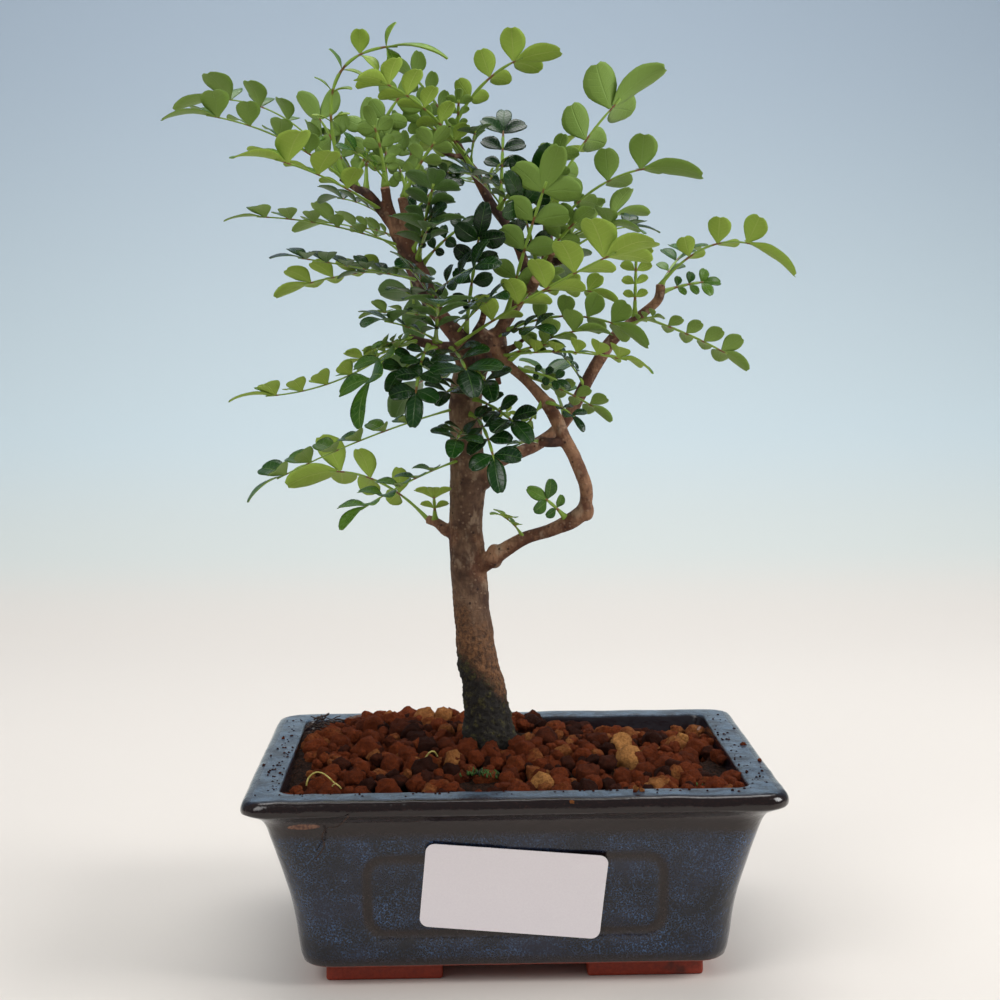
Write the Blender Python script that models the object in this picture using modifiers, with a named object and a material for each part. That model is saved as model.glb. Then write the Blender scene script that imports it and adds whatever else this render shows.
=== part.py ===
"""Chinese pepper bonsai in its glazed pot, at real size, in metres, +Z up.

The ground is z = 0. The model's origin is on it, under the middle of the whole thing; the pot's
own middle stands POT_OFFSET to the right of it, because the crown reaches further to the left.
All places below are given from the pot's middle, with -Y towards the viewer.
"""
import math
import random

import bmesh
import bpy
from mathutils import Euler, Matrix, Vector
from mathutils.bvhtree import BVHTree

UP = Vector((0.0, 0.0, 1.0))
WELD = 0.00005
POT_CREASE = 40
BARK_CREASE = 60

# Driving sizes of the pot
POT_OFFSET = 0.0048
POT_HEIGHT = 0.0572
RIM_HALF = 0.075
DEPTH_LESS = 0.017
FOOT_HEIGHT = 0.005
FLOOR_TOP = 0.0105
WALL = 0.0056
WALL_AT_GROUND = 0.0600
WALL_LEAN = 0.040
WALL_FLARE = 3.3
CORNER_STEPS = 3
HOLE_RADIUS = 0.005
HOLE_SPREAD = 0.030
FOOT_LONG = 0.033
FOOT_SHORT = 0.024
FOOT_WIDE = 0.011
FOOT_REACH = 0.0535
FOOT_ARMS = ((FOOT_LONG, FOOT_WIDE), (FOOT_WIDE, FOOT_SHORT))
FOOT_SINK = 0.002
FOOT_TAPER = 0.06
PANEL_HALF = 0.041
PANEL_LOW = 0.0160
PANEL_HIGH = 0.0385
PANEL_CORNER = 0.005
GROOVE_RADIUS = 0.0015
GROOVE_SHARE_OUT = 0.55
HOLE_SIDES = 12

# The pot's section from its underside, round the rolled rim, to the inner floor:
# the wall that each ring follows, how far outside it, the height and the corner's radius
OUTER, RIM, INNER = "outer", "rim", "inner"
POT_SECTION = [
    (OUTER, -0.0042, FOOT_HEIGHT, 0.0060),
    (OUTER, -0.0016, FOOT_HEIGHT + 0.0008, 0.0075),
    (OUTER, 0.0, 0.0085, 0.0085),
    (OUTER, 0.0, 0.0240, 0.0090),
    (OUTER, 0.0, 0.0420, 0.0090),
    (OUTER, 0.0, 0.0490, 0.0090),
    (RIM, -0.0022, 0.0518, 0.0080),
    (RIM, -0.0003, 0.0530, 0.0075),
    (RIM, 0.0, 0.0548, 0.0070),
    (RIM, -0.0008, POT_HEIGHT - 0.0006, 0.0068),
    (RIM, -0.0026, POT_HEIGHT, 0.0062),
    (INNER, -0.0012, POT_HEIGHT, 0.0050),
    (INNER, -0.0024, POT_HEIGHT - 0.0008, 0.0045),
    (INNER, -0.0012, 0.0520, 0.0045),
    (INNER, 0.0, 0.0320, 0.0045),
    (INNER, 0.0, FLOOR_TOP, 0.0045),
]

# Driving sizes of the paper label
LABEL_LENGTH = 0.0503
LABEL_HEIGHT = 0.0253
LABEL_THICK = 0.0004
LABEL_CORNER = 0.0025
LABEL_MIDDLE = (-0.0006, 0.0287)
LABEL_TURN = math.radians(5.5)
LABEL_BENDS = (-0.008, 0.0, 0.008)
LABEL_GAP = 0.0004

# Driving sizes of the soil
SOIL_FLOOR_GAP = 0.0004
SOIL_GAP = 0.0017
SOIL_CORNER = 0.0012
SOIL_DRAW_IN = 0.0032
SOIL_TOP = 0.0545
HEAP_MIDDLE = (-0.022, 0.020)
HEAP_RISE = 0.0060
HEAP_LENGTH = 0.075
HEAP_DEPTH = 0.055
GRAINS_LONG = 13
GRAINS_DEEP = 9
GRAIN_RISE = 0.0042
GRAIN_EDGE = 0.23
GRAIN_UNEVEN = 0.35
GRAIN_TILT = (0.75, 1.15)
GRAIN_SHIFT = 0.0009
GRAIN_JITTER = 0.0006
GRAIN_SEED = 12

# Driving sizes of the wood
TRUNK_FOOT = (-0.006, 0.008)
PLUG_RADIUS = 0.0088
PLUG_BOTTOM = 0.0400
PLUG_TOP = 0.0560
PLUG_GAP = 0.0007
PLUG_HOLE_TOP = 0.0750
PLUG_HOLE_SIDES = 20
THICK_LIMB = 0.005
TRUNK_ROUNDNESS = 4
KNOT_STRETCH = (1.0, 1.0, 1.25)
KNOT_TURN = (0.3, 0.7)

# Driving sizes of the leaves
BLADE = 0.0007
STALK_HALF = 0.0006
STALK_BARE = 0.16
LEAF_ANGLE = 64.0
LEAF_ANGLE_SPREAD = 5.0
LEAF_FOLD_SPREAD = 8.0
LEAF_FILL = 1.05
FIRST_PAIR = 0.78
LAST_PAIR = 1.12
LEAF_SIZE_SPREAD = (0.92, 1.04)
LEAF_ROOT_HALF = 0.065
PAIR_START = 0.25
END_AFTER = 0.10
END_LEAF = 1.5
# Cross rows of a leaflet and of the end one: how far along it, half its width, how far it sags
LEAFLET_ROWS = ((0.50, 0.36, -0.03), (0.95, 0.24, 0.08))
END_ROWS = ((0.60, 0.21, -0.02), (0.96, 0.15, 0.05))
BARK_GAP = 0.0008
BARK_REACH = 0.012
BUD_RADIUS = 0.0013
LEAF_SEED = 5

# Wood, each branch with its places and radii from its root to its tip
WOOD = {
    "trunk": [
        (-0.006, 0.008, 0.0545, 0.0085), (-0.006, 0.008, 0.060, 0.008),
        (-0.0065, 0.008, 0.066, 0.007), (-0.0075, 0.008, 0.075, 0.0065),
        (-0.0095, 0.008, 0.085, 0.006), (-0.011, 0.008, 0.100, 0.0055),
        (-0.012, 0.008, 0.115, 0.0055), (-0.0125, 0.008, 0.126, 0.005),
        (-0.0115, 0.008, 0.139, 0.0055), (-0.012, 0.008, 0.150, 0.005),
        (-0.012, 0.008, 0.162, 0.005), (-0.0105, 0.0075, 0.171, 0.005),
        (-0.007, 0.0065, 0.178, 0.005), (-0.004, 0.006, 0.182, 0.004),
    ],
    "bent_branch": [
        (-0.009, 0.007, 0.112, 0.003), (-0.003, 0.004, 0.116, 0.0025),
        (0.005, 0.002, 0.121, 0.002), (0.013, 0.001, 0.1235, 0.002),
        (0.020, 0.000, 0.127, 0.0025), (0.023, -0.001, 0.131, 0.002),
        (0.023, -0.003, 0.137, 0.002), (0.020, -0.004, 0.145, 0.002),
        (0.017, -0.004, 0.151, 0.002), (0.013, -0.003, 0.1595, 0.002),
        (0.007, -0.001, 0.167, 0.0015), (0.001, 0.001, 0.1725, 0.0015),
        (-0.004, 0.004, 0.178, 0.002),
    ],
    "back_branch": [
        (-0.010, 0.009, 0.141, 0.002), (0.000, 0.018, 0.144, 0.002),
        (0.010, 0.023, 0.148, 0.002), (0.017, 0.025, 0.153, 0.002),
        (0.022, 0.026, 0.160, 0.002), (0.028, 0.027, 0.171, 0.002),
        (0.034, 0.028, 0.180, 0.002), (0.042, 0.028, 0.187, 0.0015),
        (0.048, 0.028, 0.192, 0.0015), (0.049, 0.028, 0.197, 0.0015),
    ],
    "left_leader": [
        (-0.008, 0.007, 0.176, 0.0035), (-0.013, 0.006, 0.180, 0.003),
        (-0.018, 0.005, 0.186, 0.0025), (-0.022, 0.004, 0.191, 0.0025),
        (-0.025, 0.003, 0.200, 0.0025), (-0.029, 0.002, 0.207, 0.0025),
        (-0.032, 0.002, 0.213, 0.0025),
    ],
    "left_twig": [
        (-0.032, 0.002, 0.213, 0.002), (-0.036, 0.001, 0.218, 0.0015),
        (-0.040, 0.000, 0.223, 0.0015), (-0.044, 0.001, 0.225, 0.001),
        (-0.048, 0.002, 0.228, 0.001),
    ],
    "left_cut": [
        (-0.032, 0.0015, 0.213, 0.002), (-0.034, 0.000, 0.219, 0.0015),
        (-0.035, -0.002, 0.225, 0.0015),
    ],
    "middle_cut": [
        (-0.028, 0.002, 0.207, 0.002), (-0.029, 0.000, 0.216, 0.0015),
        (-0.030, -0.001, 0.222, 0.0015),
    ],
    "right_leader": [
        (-0.005, 0.006, 0.177, 0.0025), (-0.001, 0.005, 0.184, 0.002),
        (0.004, 0.006, 0.192, 0.002), (0.008, 0.006, 0.198, 0.0015),
        (0.012, 0.007, 0.203, 0.0015), (0.013, 0.008, 0.212, 0.0015),
        (0.012, 0.008, 0.218, 0.001),
    ],
    "right_cut": [
        (0.012, 0.007, 0.203, 0.0015), (0.017, 0.005, 0.204, 0.0015),
        (0.020, 0.004, 0.207, 0.0015),
    ],
    "top_branch": [
        (0.007, 0.006, 0.197, 0.002), (0.005, 0.010, 0.206, 0.0015),
        (0.001, 0.010, 0.214, 0.0015), (-0.004, 0.010, 0.221, 0.0015),
        (-0.008, 0.011, 0.229, 0.0015), (-0.012, 0.012, 0.236, 0.001),
        (-0.016, 0.013, 0.244, 0.001),
    ],
    "left_stub": [
        (-0.009, 0.007, 0.177, 0.002), (-0.014, 0.004, 0.178, 0.002),
        (-0.019, 0.000, 0.1785, 0.0015), (-0.024, -0.002, 0.1795, 0.0015),
        (-0.029, -0.003, 0.181, 0.0015),
    ],
    "low_stub": [
        (-0.012, 0.008, 0.121, 0.0025), (-0.018, 0.009, 0.123, 0.002),
        (-0.021, 0.011, 0.125, 0.0015), (-0.024, 0.013, 0.126, 0.0015),
    ],
    "bent_stub": [
        (0.017, -0.004, 0.1505, 0.0015), (0.013, -0.005, 0.150, 0.0015),
        (0.009, -0.005, 0.1505, 0.0015),
    ],
    "rear_twig": [
        (-0.021, 0.005, 0.190, 0.0015), (-0.025, 0.013, 0.195, 0.0015),
        (-0.028, 0.022, 0.201, 0.0015), (-0.032, 0.029, 0.208, 0.001),
    ],
    "rear_high_twig": [
        (0.002, 0.010, 0.212, 0.0015), (0.006, 0.018, 0.218, 0.001),
        (0.007, 0.027, 0.224, 0.001), (0.007, 0.033, 0.230, 0.001),
    ],
}

# Knots, scars and burrs on the bark, each a place and a radius
KNOTS = [
    (-0.007, 0.0065, 0.139, 0.003), (-0.004, 0.004, 0.1155, 0.003),
    (-0.003, 0.006, 0.179, 0.004), (-0.014, 0.007, 0.178, 0.0035),
    (0.0235, -0.001, 0.1295, 0.0025), (0.013, -0.003, 0.1605, 0.002),
    (-0.011, 0.006, 0.061, 0.0035), (-0.001, 0.0055, 0.060, 0.0035),
]

# Leaves: name, branch, how far along it, tip, arch, pairs of leaflets, fold, turn, level, tone.
# Turn is 0 for a leaf whose face looks up, 1 for a face and -1 for an underside to the viewer.
# Level is how far its leaflets lie flat instead of in the leaf's own plane.
YOUNG, FULL, DEEP = "young", "full", "deep"
LEAVES = [
    ("leaf_top_arch", "left_twig", 0.93, (-0.016, 0.000, 0.264), 0.42, 5, 14, 1.0, 0.8, YOUNG),
    ("leaf_top_mid", "left_twig", 0.80, (-0.025, 0.000, 0.258), 0.04, 4, 15, -0.7, 0.0, FULL),
    ("leaf_far_left_high", "left_twig", 1.00, (-0.098, 0.014, 0.251), 0.17, 4, 30, -0.15, 0.0, FULL),
    ("leaf_far_left", "left_twig", 0.88, (-0.097, -0.016, 0.245), 0.09, 4, 30, -0.1, 0.0, FULL),
    ("leaf_far_left_low", "left_twig", 0.30, (-0.075, -0.036, 0.232), 0.05, 3, 32, -0.15, 0.0, YOUNG),
    ("leaf_crown_left", "left_cut", 0.95, (-0.040, -0.006, 0.248), 0.06, 3, 15, -0.7, 0.0, FULL),
    ("leaf_crown_left", "left_cut", 0.95, (-0.047, -0.022, 0.235), 0.06, 3, 22, 0.5, 0.0, DEEP),
    ("leaf_crown_mid", "middle_cut", 0.95, (-0.016, -0.014, 0.241), 0.05, 3, 15, -0.8, 0.0, FULL),
    ("leaf_crown_mid", "middle_cut", 0.95, (-0.038, 0.026, 0.246), 0.05, 3, 20, -0.6, 0.0, DEEP),
    ("leaf_sky", "top_branch", 0.97, (0.017, 0.002, 0.265), 0.14, 3, 28, -0.5, 0.0, YOUNG),
    ("leaf_sky_left", "top_branch", 0.68, (-0.042, -0.026, 0.254), 0.10, 5, 26, -0.5, 0.0, YOUNG),
    ("leaf_sky_back", "top_branch", 1.00, (-0.034, 0.024, 0.266), 0.06, 3, 24, -0.5, 0.0, FULL),
    ("leaf_glossy_up", "top_branch", 0.42, (0.001, 0.032, 0.252), 0.02, 4, 10, 1.0, 0.0, DEEP),
    ("leaf_glossy_up", "top_branch", 0.42, (-0.015, -0.018, 0.229), 0.06, 3, 20, 0.5, 0.0, DEEP),
    ("leaf_glossy_mid", "left_leader", 0.12, (-0.006, -0.012, 0.219), 0.03, 4, 10, 1.0, 0.0, DEEP),
    ("leaf_rising", "right_leader", 0.20, (0.015, -0.022, 0.235), 0.02, 4, 8, -1.0, 0.0, FULL),
    ("leaf_front", "left_stub", 0.35, (0.039, -0.050, 0.208), 0.02, 5, 28, -0.45, 0.0, YOUNG),
    ("leaf_right_high", "right_leader", 0.82, (0.058, -0.004, 0.229), 0.16, 3, 28, -0.4, 0.0, FULL),
    ("leaf_right_top", "right_leader", 1.00, (0.047, 0.012, 0.262), 0.06, 3, 28, -0.4, 0.0, FULL),
    ("leaf_right_flat", "right_leader", 0.74, (0.045, 0.030, 0.220), 0.06, 3, 28, -0.35, 0.0, FULL),
    ("leaf_right_small", "right_cut", 1.00, (0.047, 0.012, 0.213), 0.10, 3, 24, 0.2, 0.0, DEEP),
    ("leaf_far_right", "back_branch", 1.00, (0.089, 0.012, 0.200), 0.25, 3, 30, -0.35, 0.0, YOUNG),
    ("leaf_right_low", "back_branch", 0.86, (0.078, 0.036, 0.171), 0.03, 4, 22, -0.4, 0.0, FULL),
    ("leaf_right_mid", "back_branch", 0.97, (0.069, 0.034, 0.198), 0.04, 3, 16, 0.7, 0.0, FULL),
    ("leaf_right_up", "back_branch", 0.84, (0.040, 0.012, 0.211), 0.03, 4, 12, -1.0, 0.0, YOUNG),
    ("leaf_right_back", "back_branch", 0.98, (0.064, 0.052, 0.210), 0.08, 3, 22, 0.2, 0.0, FULL),
    ("leaf_left_high", "left_leader", 0.86, (-0.081, -0.010, 0.216), 0.05, 5, 26, -0.05, 0.2, FULL),
    ("leaf_left_mid", "left_leader", 0.62, (-0.067, -0.018, 0.205), 0.01, 5, 30, 0.15, 0.0, DEEP),
    ("leaf_left_pale", "left_leader", 0.72, (-0.070, 0.022, 0.195), 0.03, 4, 25, -0.3, 0.0, YOUNG),
    ("leaf_left_dark", "left_leader", 0.34, (-0.034, -0.016, 0.196), 0.04, 2, 14, 0.1, 0.3, DEEP),
    ("leaf_stub_left", "left_stub", 1.00, (-0.080, -0.016, 0.165), -0.10, 5, 30, -0.15, 0.0, YOUNG),
    ("leaf_stub_small", "left_stub", 0.88, (-0.043, -0.034, 0.157), 0.14, 3, 20, -0.3, 0.0, FULL),
    ("leaf_stub_down", "left_stub", 0.90, (-0.050, 0.010, 0.173), -0.02, 3, 22, -0.2, 0.0, YOUNG),
    ("leaf_stub_face", "left_stub", 0.70, (-0.027, -0.034, 0.157), 0.12, 4, 10, 1.0, 0.0, DEEP),
    ("leaf_middle_flat", "right_leader", 0.12, (0.042, -0.010, 0.179), 0.13, 4, 24, -0.5, 0.0, FULL),
    ("leaf_middle_long", "bent_branch", 0.96, (0.041, -0.026, 0.172), 0.05, 5, 20, -0.3, 0.0, YOUNG),
    ("leaf_middle_drop", "bent_branch", 0.88, (0.032, 0.008, 0.156), 0.04, 4, 18, -0.4, 0.0, FULL),
    ("leaf_trunk_drop", "trunk", 0.80, (-0.003, -0.030, 0.138), 0.14, 4, 10, 1.0, 0.0, DEEP),
    ("leaf_trunk_low", "trunk", 0.70, (-0.048, -0.030, 0.129), 0.03, 5, 22, -0.05, 0.5, FULL),
    ("leaf_trunk_long", "trunk", 0.82, (-0.076, -0.016, 0.136), 0.03, 6, 30, -0.1, 0.0, FULL),
    ("leaf_low_left", "low_stub", 1.00, (-0.068, 0.034, 0.137), 0.15, 3, 22, -0.55, 0.0, YOUNG),
    ("leaf_low_sprig", "low_stub", 0.80, (-0.022, -0.004, 0.138), 0.05, 2, 20, 0.2, 0.0, YOUNG),
    ("leaf_knee", "bent_branch", 0.33, (0.006, -0.012, 0.137), 0.04, 2, 12, 0.8, 0.0, FULL),
    ("leaf_sprout", "bent_branch", 0.18, (-0.005, -0.008, 0.130), 0.08, 2, 22, 0.2, 0.5, YOUNG),
    ("leaf_knot", "bent_branch", 0.76, (0.022, -0.014, 0.154), 0.08, 2, 20, 0.15, 0.3, DEEP),
    ("leaf_bent_stub", "bent_stub", 1.00, (0.000, -0.014, 0.148), 0.08, 2, 22, -0.2, 0.0, FULL),
    ("leaf_inner_left", "left_twig", 0.15, (-0.056, 0.026, 0.224), 0.06, 3, 22, -0.2, 0.3, DEEP),
    ("leaf_inner_mid", "top_branch", 0.72, (-0.027, 0.034, 0.240), 0.08, 3, 22, -0.5, 0.0, YOUNG),
    ("leaf_heart_low", "left_stub", 0.62, (-0.019, -0.046, 0.192), 0.04, 3, 16, 0.15, 0.0, DEEP),
    ("leaf_heart_low", "left_stub", 0.62, (-0.040, -0.036, 0.186), 0.04, 3, 20, 0.1, 0.2, DEEP),
    ("leaf_heart_left", "left_leader", 0.72, (-0.019, -0.034, 0.228), 0.03, 4, 14, -0.8, 0.0, DEEP),
    ("leaf_heart_left", "left_leader", 0.72, (-0.020, -0.034, 0.214), 0.04, 2, 20, 0.3, 0.0, DEEP),
    ("leaf_heart_high", "top_branch", 0.26, (0.012, -0.014, 0.235), 0.03, 3, 16, 0.8, 0.0, DEEP),
    ("leaf_heart_right", "right_leader", 0.72, (0.039, -0.022, 0.211), 0.10, 3, 22, -0.35, 0.0, FULL),
    ("leaf_rear_left", "rear_twig", 1.00, (-0.066, 0.046, 0.217), 0.10, 3, 26, -0.25, 0.0, FULL),
    ("leaf_rear_low", "rear_twig", 0.75, (-0.028, 0.054, 0.180), 0.14, 2, 26, -0.25, 0.0, DEEP),
    ("leaf_rear_high", "rear_high_twig", 1.00, (0.027, 0.048, 0.241), 0.12, 3, 26, -0.25, 0.0, YOUNG),
    ("leaf_rear_top", "rear_high_twig", 0.45, (-0.024, 0.046, 0.230), 0.10, 3, 26, -0.25, 0.0, FULL),
    ("leaf_rear_right", "back_branch", 0.42, (0.009, 0.054, 0.172), 0.12, 2, 26, -0.25, 0.0, FULL),
    ("leaf_rear_mid", "right_leader", 0.55, (0.022, 0.050, 0.199), 0.12, 3, 26, -0.25, 0.0, DEEP),
    ("leaf_rear_trunk", "trunk", 0.86, (-0.035, 0.050, 0.158), 0.12, 2, 26, -0.25, 0.0, DEEP),
]

# Colours, each with its roughness
GLAZE = ((0.030, 0.045, 0.075), 0.22)
PAPER = ((0.760, 0.680, 0.680), 0.60)
GRAIN = ((0.160, 0.045, 0.018), 0.95)
BARK = ((0.130, 0.085, 0.055), 0.85)
LEAF_TONES = {
    YOUNG: ((0.200, 0.320, 0.050), 0.45),
    FULL: ((0.060, 0.130, 0.018), 0.35),
    DEEP: ((0.012, 0.060, 0.014), 0.28),
}


def clear_scene():
    for item in list(bpy.data.objects):
        bpy.data.objects.remove(item)


def collection(name):
    group = bpy.data.collections.new(name)
    bpy.context.scene.collection.children.link(group)
    return group


def material(name, look):
    colour, roughness = look
    made = bpy.data.materials.new(name)
    made.use_nodes = True
    shader = made.node_tree.nodes["Principled BSDF"]
    shader.inputs["Base Color"].default_value = (*colour, 1.0)
    shader.inputs["Roughness"].default_value = roughness
    return made


def add_object(name, mesh, group, look=None):
    item = bpy.data.objects.new(name, mesh)
    group.objects.link(item)
    if look:
        mesh.materials.append(material(name, look))
    return item


def mesh_from(name, bm):
    bmesh.ops.recalc_face_normals(bm, faces=bm.faces)
    if bm.calc_volume(signed=True) < 0:
        bmesh.ops.reverse_faces(bm, faces=bm.faces)
    mesh = bpy.data.meshes.new(name)
    bm.to_mesh(mesh)
    bm.free()
    return mesh


def shade(item, degrees):
    item.data.shade_smooth()
    item.data.set_sharp_from_angle(angle=math.radians(degrees))


def combine(body, extras, operation, solver="EXACT"):
    """Joins or cuts a body with all of extras in one Boolean, applies it and drops the extras."""
    group = bpy.data.collections.new("extras of " + body.name)
    bpy.context.scene.collection.children.link(group)
    for extra in extras:
        for old in list(extra.users_collection):
            old.objects.unlink(extra)
        group.objects.link(extra)
    change = body.modifiers.new(operation.lower(), "BOOLEAN")
    change.operation = operation
    change.operand_type = "COLLECTION"
    change.collection = group
    change.solver = solver
    depsgraph = bpy.context.evaluated_depsgraph_get()
    result = bpy.data.meshes.new_from_object(body.evaluated_get(depsgraph))
    body.modifiers.clear()
    body.data = result
    for extra in extras:
        bpy.data.objects.remove(extra)
    bpy.data.collections.remove(group)


def rounded_rectangle(half_x, half_y, radius, steps):
    """The outline's points, anticlockwise, with an arc of steps parts at each corner."""
    points = []
    for quarter in range(4):
        side_x = 1 if quarter in (0, 3) else -1
        side_y = 1 if quarter in (0, 1) else -1
        for step in range(steps + 1):
            angle = math.radians(90.0 * (quarter + step / steps))
            x = side_x * (half_x - radius) + radius * math.cos(angle)
            y = side_y * (half_y - radius) + radius * math.sin(angle)
            points.append((x, y))
    return points


def lofted(name, rings):
    """A closed body through rings of rounded rectangles, each (half length, height, corner)."""
    bm = bmesh.new()
    last = None
    for half, height, corner in rings:
        outline = rounded_rectangle(half, half - DEPTH_LESS, corner, CORNER_STEPS)
        ring = [bm.verts.new((x, y, height)) for x, y in outline]
        if last:
            for i in range(len(ring)):
                j = (i + 1) % len(ring)
                bm.faces.new((last[i], last[j], ring[j], ring[i]))
        else:
            bm.faces.new(list(reversed(ring)))
        last = ring
    bm.faces.new(last)
    return mesh_from(name, bm)


def wall_out(z):
    """Half length of the pot's outside at height z: it leans out, more and more towards the rim."""
    return WALL_AT_GROUND + WALL_LEAN * z + WALL_FLARE * z * z


def wall_in(z):
    return wall_out(z) - WALL


def block(name, middle, size, group):
    bm = bmesh.new()
    bmesh.ops.create_cube(bm, size=1.0)
    bmesh.ops.scale(bm, vec=size, verts=bm.verts)
    bmesh.ops.translate(bm, vec=middle, verts=bm.verts)
    return add_object(name, mesh_from(name, bm), group)


def foot_taper(item, middle):
    """Draws a foot's underside in a little, about the foot's own middle."""
    for vertex in item.data.vertices:
        if vertex.co.z < FOOT_HEIGHT / 2:
            vertex.co.x += (middle[0] - vertex.co.x) * FOOT_TAPER
            vertex.co.y += (middle[1] - vertex.co.y) * FOOT_TAPER


def drill(name, place, radius, low, high, group, sides=HOLE_SIDES):
    """An upright round bar."""
    bm = bmesh.new()
    bmesh.ops.create_cone(bm, cap_ends=True, segments=sides, radius1=radius, radius2=radius,
                          depth=high - low)
    bmesh.ops.translate(bm, vec=(place[0], place[1], (low + high) / 2), verts=bm.verts)
    return add_object(name, mesh_from(name, bm), group)


def curve_mesh(name, runs, group, resolution, cyclic=False):
    """A mesh object swept along runs of (x, y, z, radius) points, with welded end caps."""
    data = bpy.data.curves.new(name, "CURVE")
    data.dimensions = "3D"
    data.bevel_depth = 1.0
    data.bevel_resolution = resolution
    data.use_fill_caps = True
    spline = data.splines.new("POLY")
    spline.points.add(len(runs) - 1)
    spline.use_cyclic_u = cyclic
    for point, (x, y, z, radius) in zip(spline.points, runs):
        point.co = (x, y, z, 1.0)
        point.radius = radius
    guide = bpy.data.objects.new(name, data)
    group.objects.link(guide)
    depsgraph = bpy.context.evaluated_depsgraph_get()
    swept = bpy.data.meshes.new_from_object(guide.evaluated_get(depsgraph))
    bpy.data.objects.remove(guide)
    bm = bmesh.new()
    bm.from_mesh(swept)
    bmesh.ops.remove_doubles(bm, verts=bm.verts, dist=WELD)
    return add_object(name, mesh_from(name, bm), group)


def build_pot(group):
    """The glazed pot with its rolled rim, four corner feet, two drain holes and grooved panels."""
    rings = []
    for follows, beyond, z, corner in POT_SECTION:
        half = {OUTER: wall_out(z), RIM: RIM_HALF, INNER: wall_in(z)}[follows]
        rings.append((half + beyond, z, corner))
    pot = add_object("pot", lofted("pot", rings), group, GLAZE)

    feet = []
    reach_y = FOOT_REACH - DEPTH_LESS
    for side_x in (-1, 1):
        for side_y in (-1, 1):
            for axis, (long_x, long_y) in enumerate(FOOT_ARMS):
                middle = (side_x * (FOOT_REACH - long_x / 2), side_y * (reach_y - long_y / 2))
                name = f"foot {side_x} {side_y} {axis}"
                size = (long_x, long_y, FOOT_HEIGHT + FOOT_SINK)
                made = block(name, (*middle, size[2] / 2), size, group)
                foot_taper(made, middle)
                feet.append(made)
    combine(pot, feet, "UNION")

    cutters = []
    for side in (-1, 1):
        place = (side * HOLE_SPREAD, 0.0)
        low, high = FOOT_HEIGHT / 2, FLOOR_TOP + FOOT_HEIGHT / 2
        cutters.append(drill(f"drain {side}", place, HOLE_RADIUS, low, high, group))
    middle_z = (PANEL_LOW + PANEL_HIGH) / 2
    half_z = (PANEL_HIGH - PANEL_LOW) / 2
    for side in (-1, 1):
        route = []
        for x, up in rounded_rectangle(PANEL_HALF, half_z, PANEL_CORNER, CORNER_STEPS):
            z = middle_z + up
            y = side * (wall_out(z) - DEPTH_LESS + GROOVE_RADIUS * GROOVE_SHARE_OUT)
            route.append((x, y, z, GROOVE_RADIUS))
        cutters.append(curve_mesh(f"groove {side}", route, group, resolution=1, cyclic=True))
    combine(pot, cutters, "DIFFERENCE")
    shade(pot, POT_CREASE)
    return pot


def build_label(group):
    """The blank paper label on the pot's front, bent to the wall, with rounded corners."""
    data = bpy.data.curves.new("label", "CURVE")
    data.dimensions = "2D"
    data.fill_mode = "BOTH"
    data.extrude = LABEL_THICK / 2
    outline = rounded_rectangle(LABEL_LENGTH / 2, LABEL_HEIGHT / 2, LABEL_CORNER, CORNER_STEPS)
    spline = data.splines.new("POLY")
    spline.points.add(len(outline) - 1)
    spline.use_cyclic_u = True
    for point, (x, y) in zip(spline.points, outline):
        point.co = (x, y, 0.0, 1.0)
    guide = bpy.data.objects.new("label guide", data)
    group.objects.link(guide)
    depsgraph = bpy.context.evaluated_depsgraph_get()
    flat = bpy.data.meshes.new_from_object(guide.evaluated_get(depsgraph))
    bpy.data.objects.remove(guide)
    bm = bmesh.new()
    bm.from_mesh(flat)
    bmesh.ops.remove_doubles(bm, verts=bm.verts, dist=WELD)

    turn = Matrix.Rotation(-LABEL_TURN, 3, "Z")
    bmesh.ops.rotate(bm, matrix=turn, verts=bm.verts)
    for bend in LABEL_BENDS:
        everything = bm.verts[:] + bm.edges[:] + bm.faces[:]
        bmesh.ops.bisect_plane(bm, geom=everything, plane_co=(0.0, bend, 0.0), plane_no=(0.0, 1.0, 0.0))
    for vertex in bm.verts:
        x = LABEL_MIDDLE[0] + vertex.co.x
        z = LABEL_MIDDLE[1] + vertex.co.y
        out = wall_out(z) - DEPTH_LESS + LABEL_GAP + LABEL_THICK / 2 + vertex.co.z
        vertex.co = (x, -out, z)
    label = add_object("label", mesh_from("label", bm), group, PAPER)
    return label


def soil_height(x, y):
    """The soil is heaped towards the back left and falls away to the pot's walls."""
    away = math.hypot((x - HEAP_MIDDLE[0]) / HEAP_LENGTH, (y - HEAP_MIDDLE[1]) / HEAP_DEPTH)
    return SOIL_TOP + HEAP_RISE * max(0.0, 1.0 - away * away)


def grain_steps(count, half):
    """Grid lines across a row of grains: two on each grain's flat top, one in each cleft."""
    lines = [-half]
    pitch = 2 * half / count
    for k in range(count):
        left = -half + k * pitch
        lines += [left + GRAIN_EDGE * pitch, left + (1 - GRAIN_EDGE) * pitch, left + pitch]
    return lines


def split_cell(bm, a, b, c, d):
    """Two triangles over a cell of the soil, along the diagonal that leaves both facing up."""
    def turn(p, q, r):
        return (q.co.xy - p.co.xy).cross(r.co.xy - p.co.xy)
    if min(turn(a, b, c), turn(a, c, d)) > min(turn(a, b, d), turn(b, c, d)):
        bm.faces.new((a, b, c))
        bm.faces.new((a, c, d))
    else:
        bm.faces.new((a, b, d))
        bm.faces.new((b, c, d))


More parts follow.
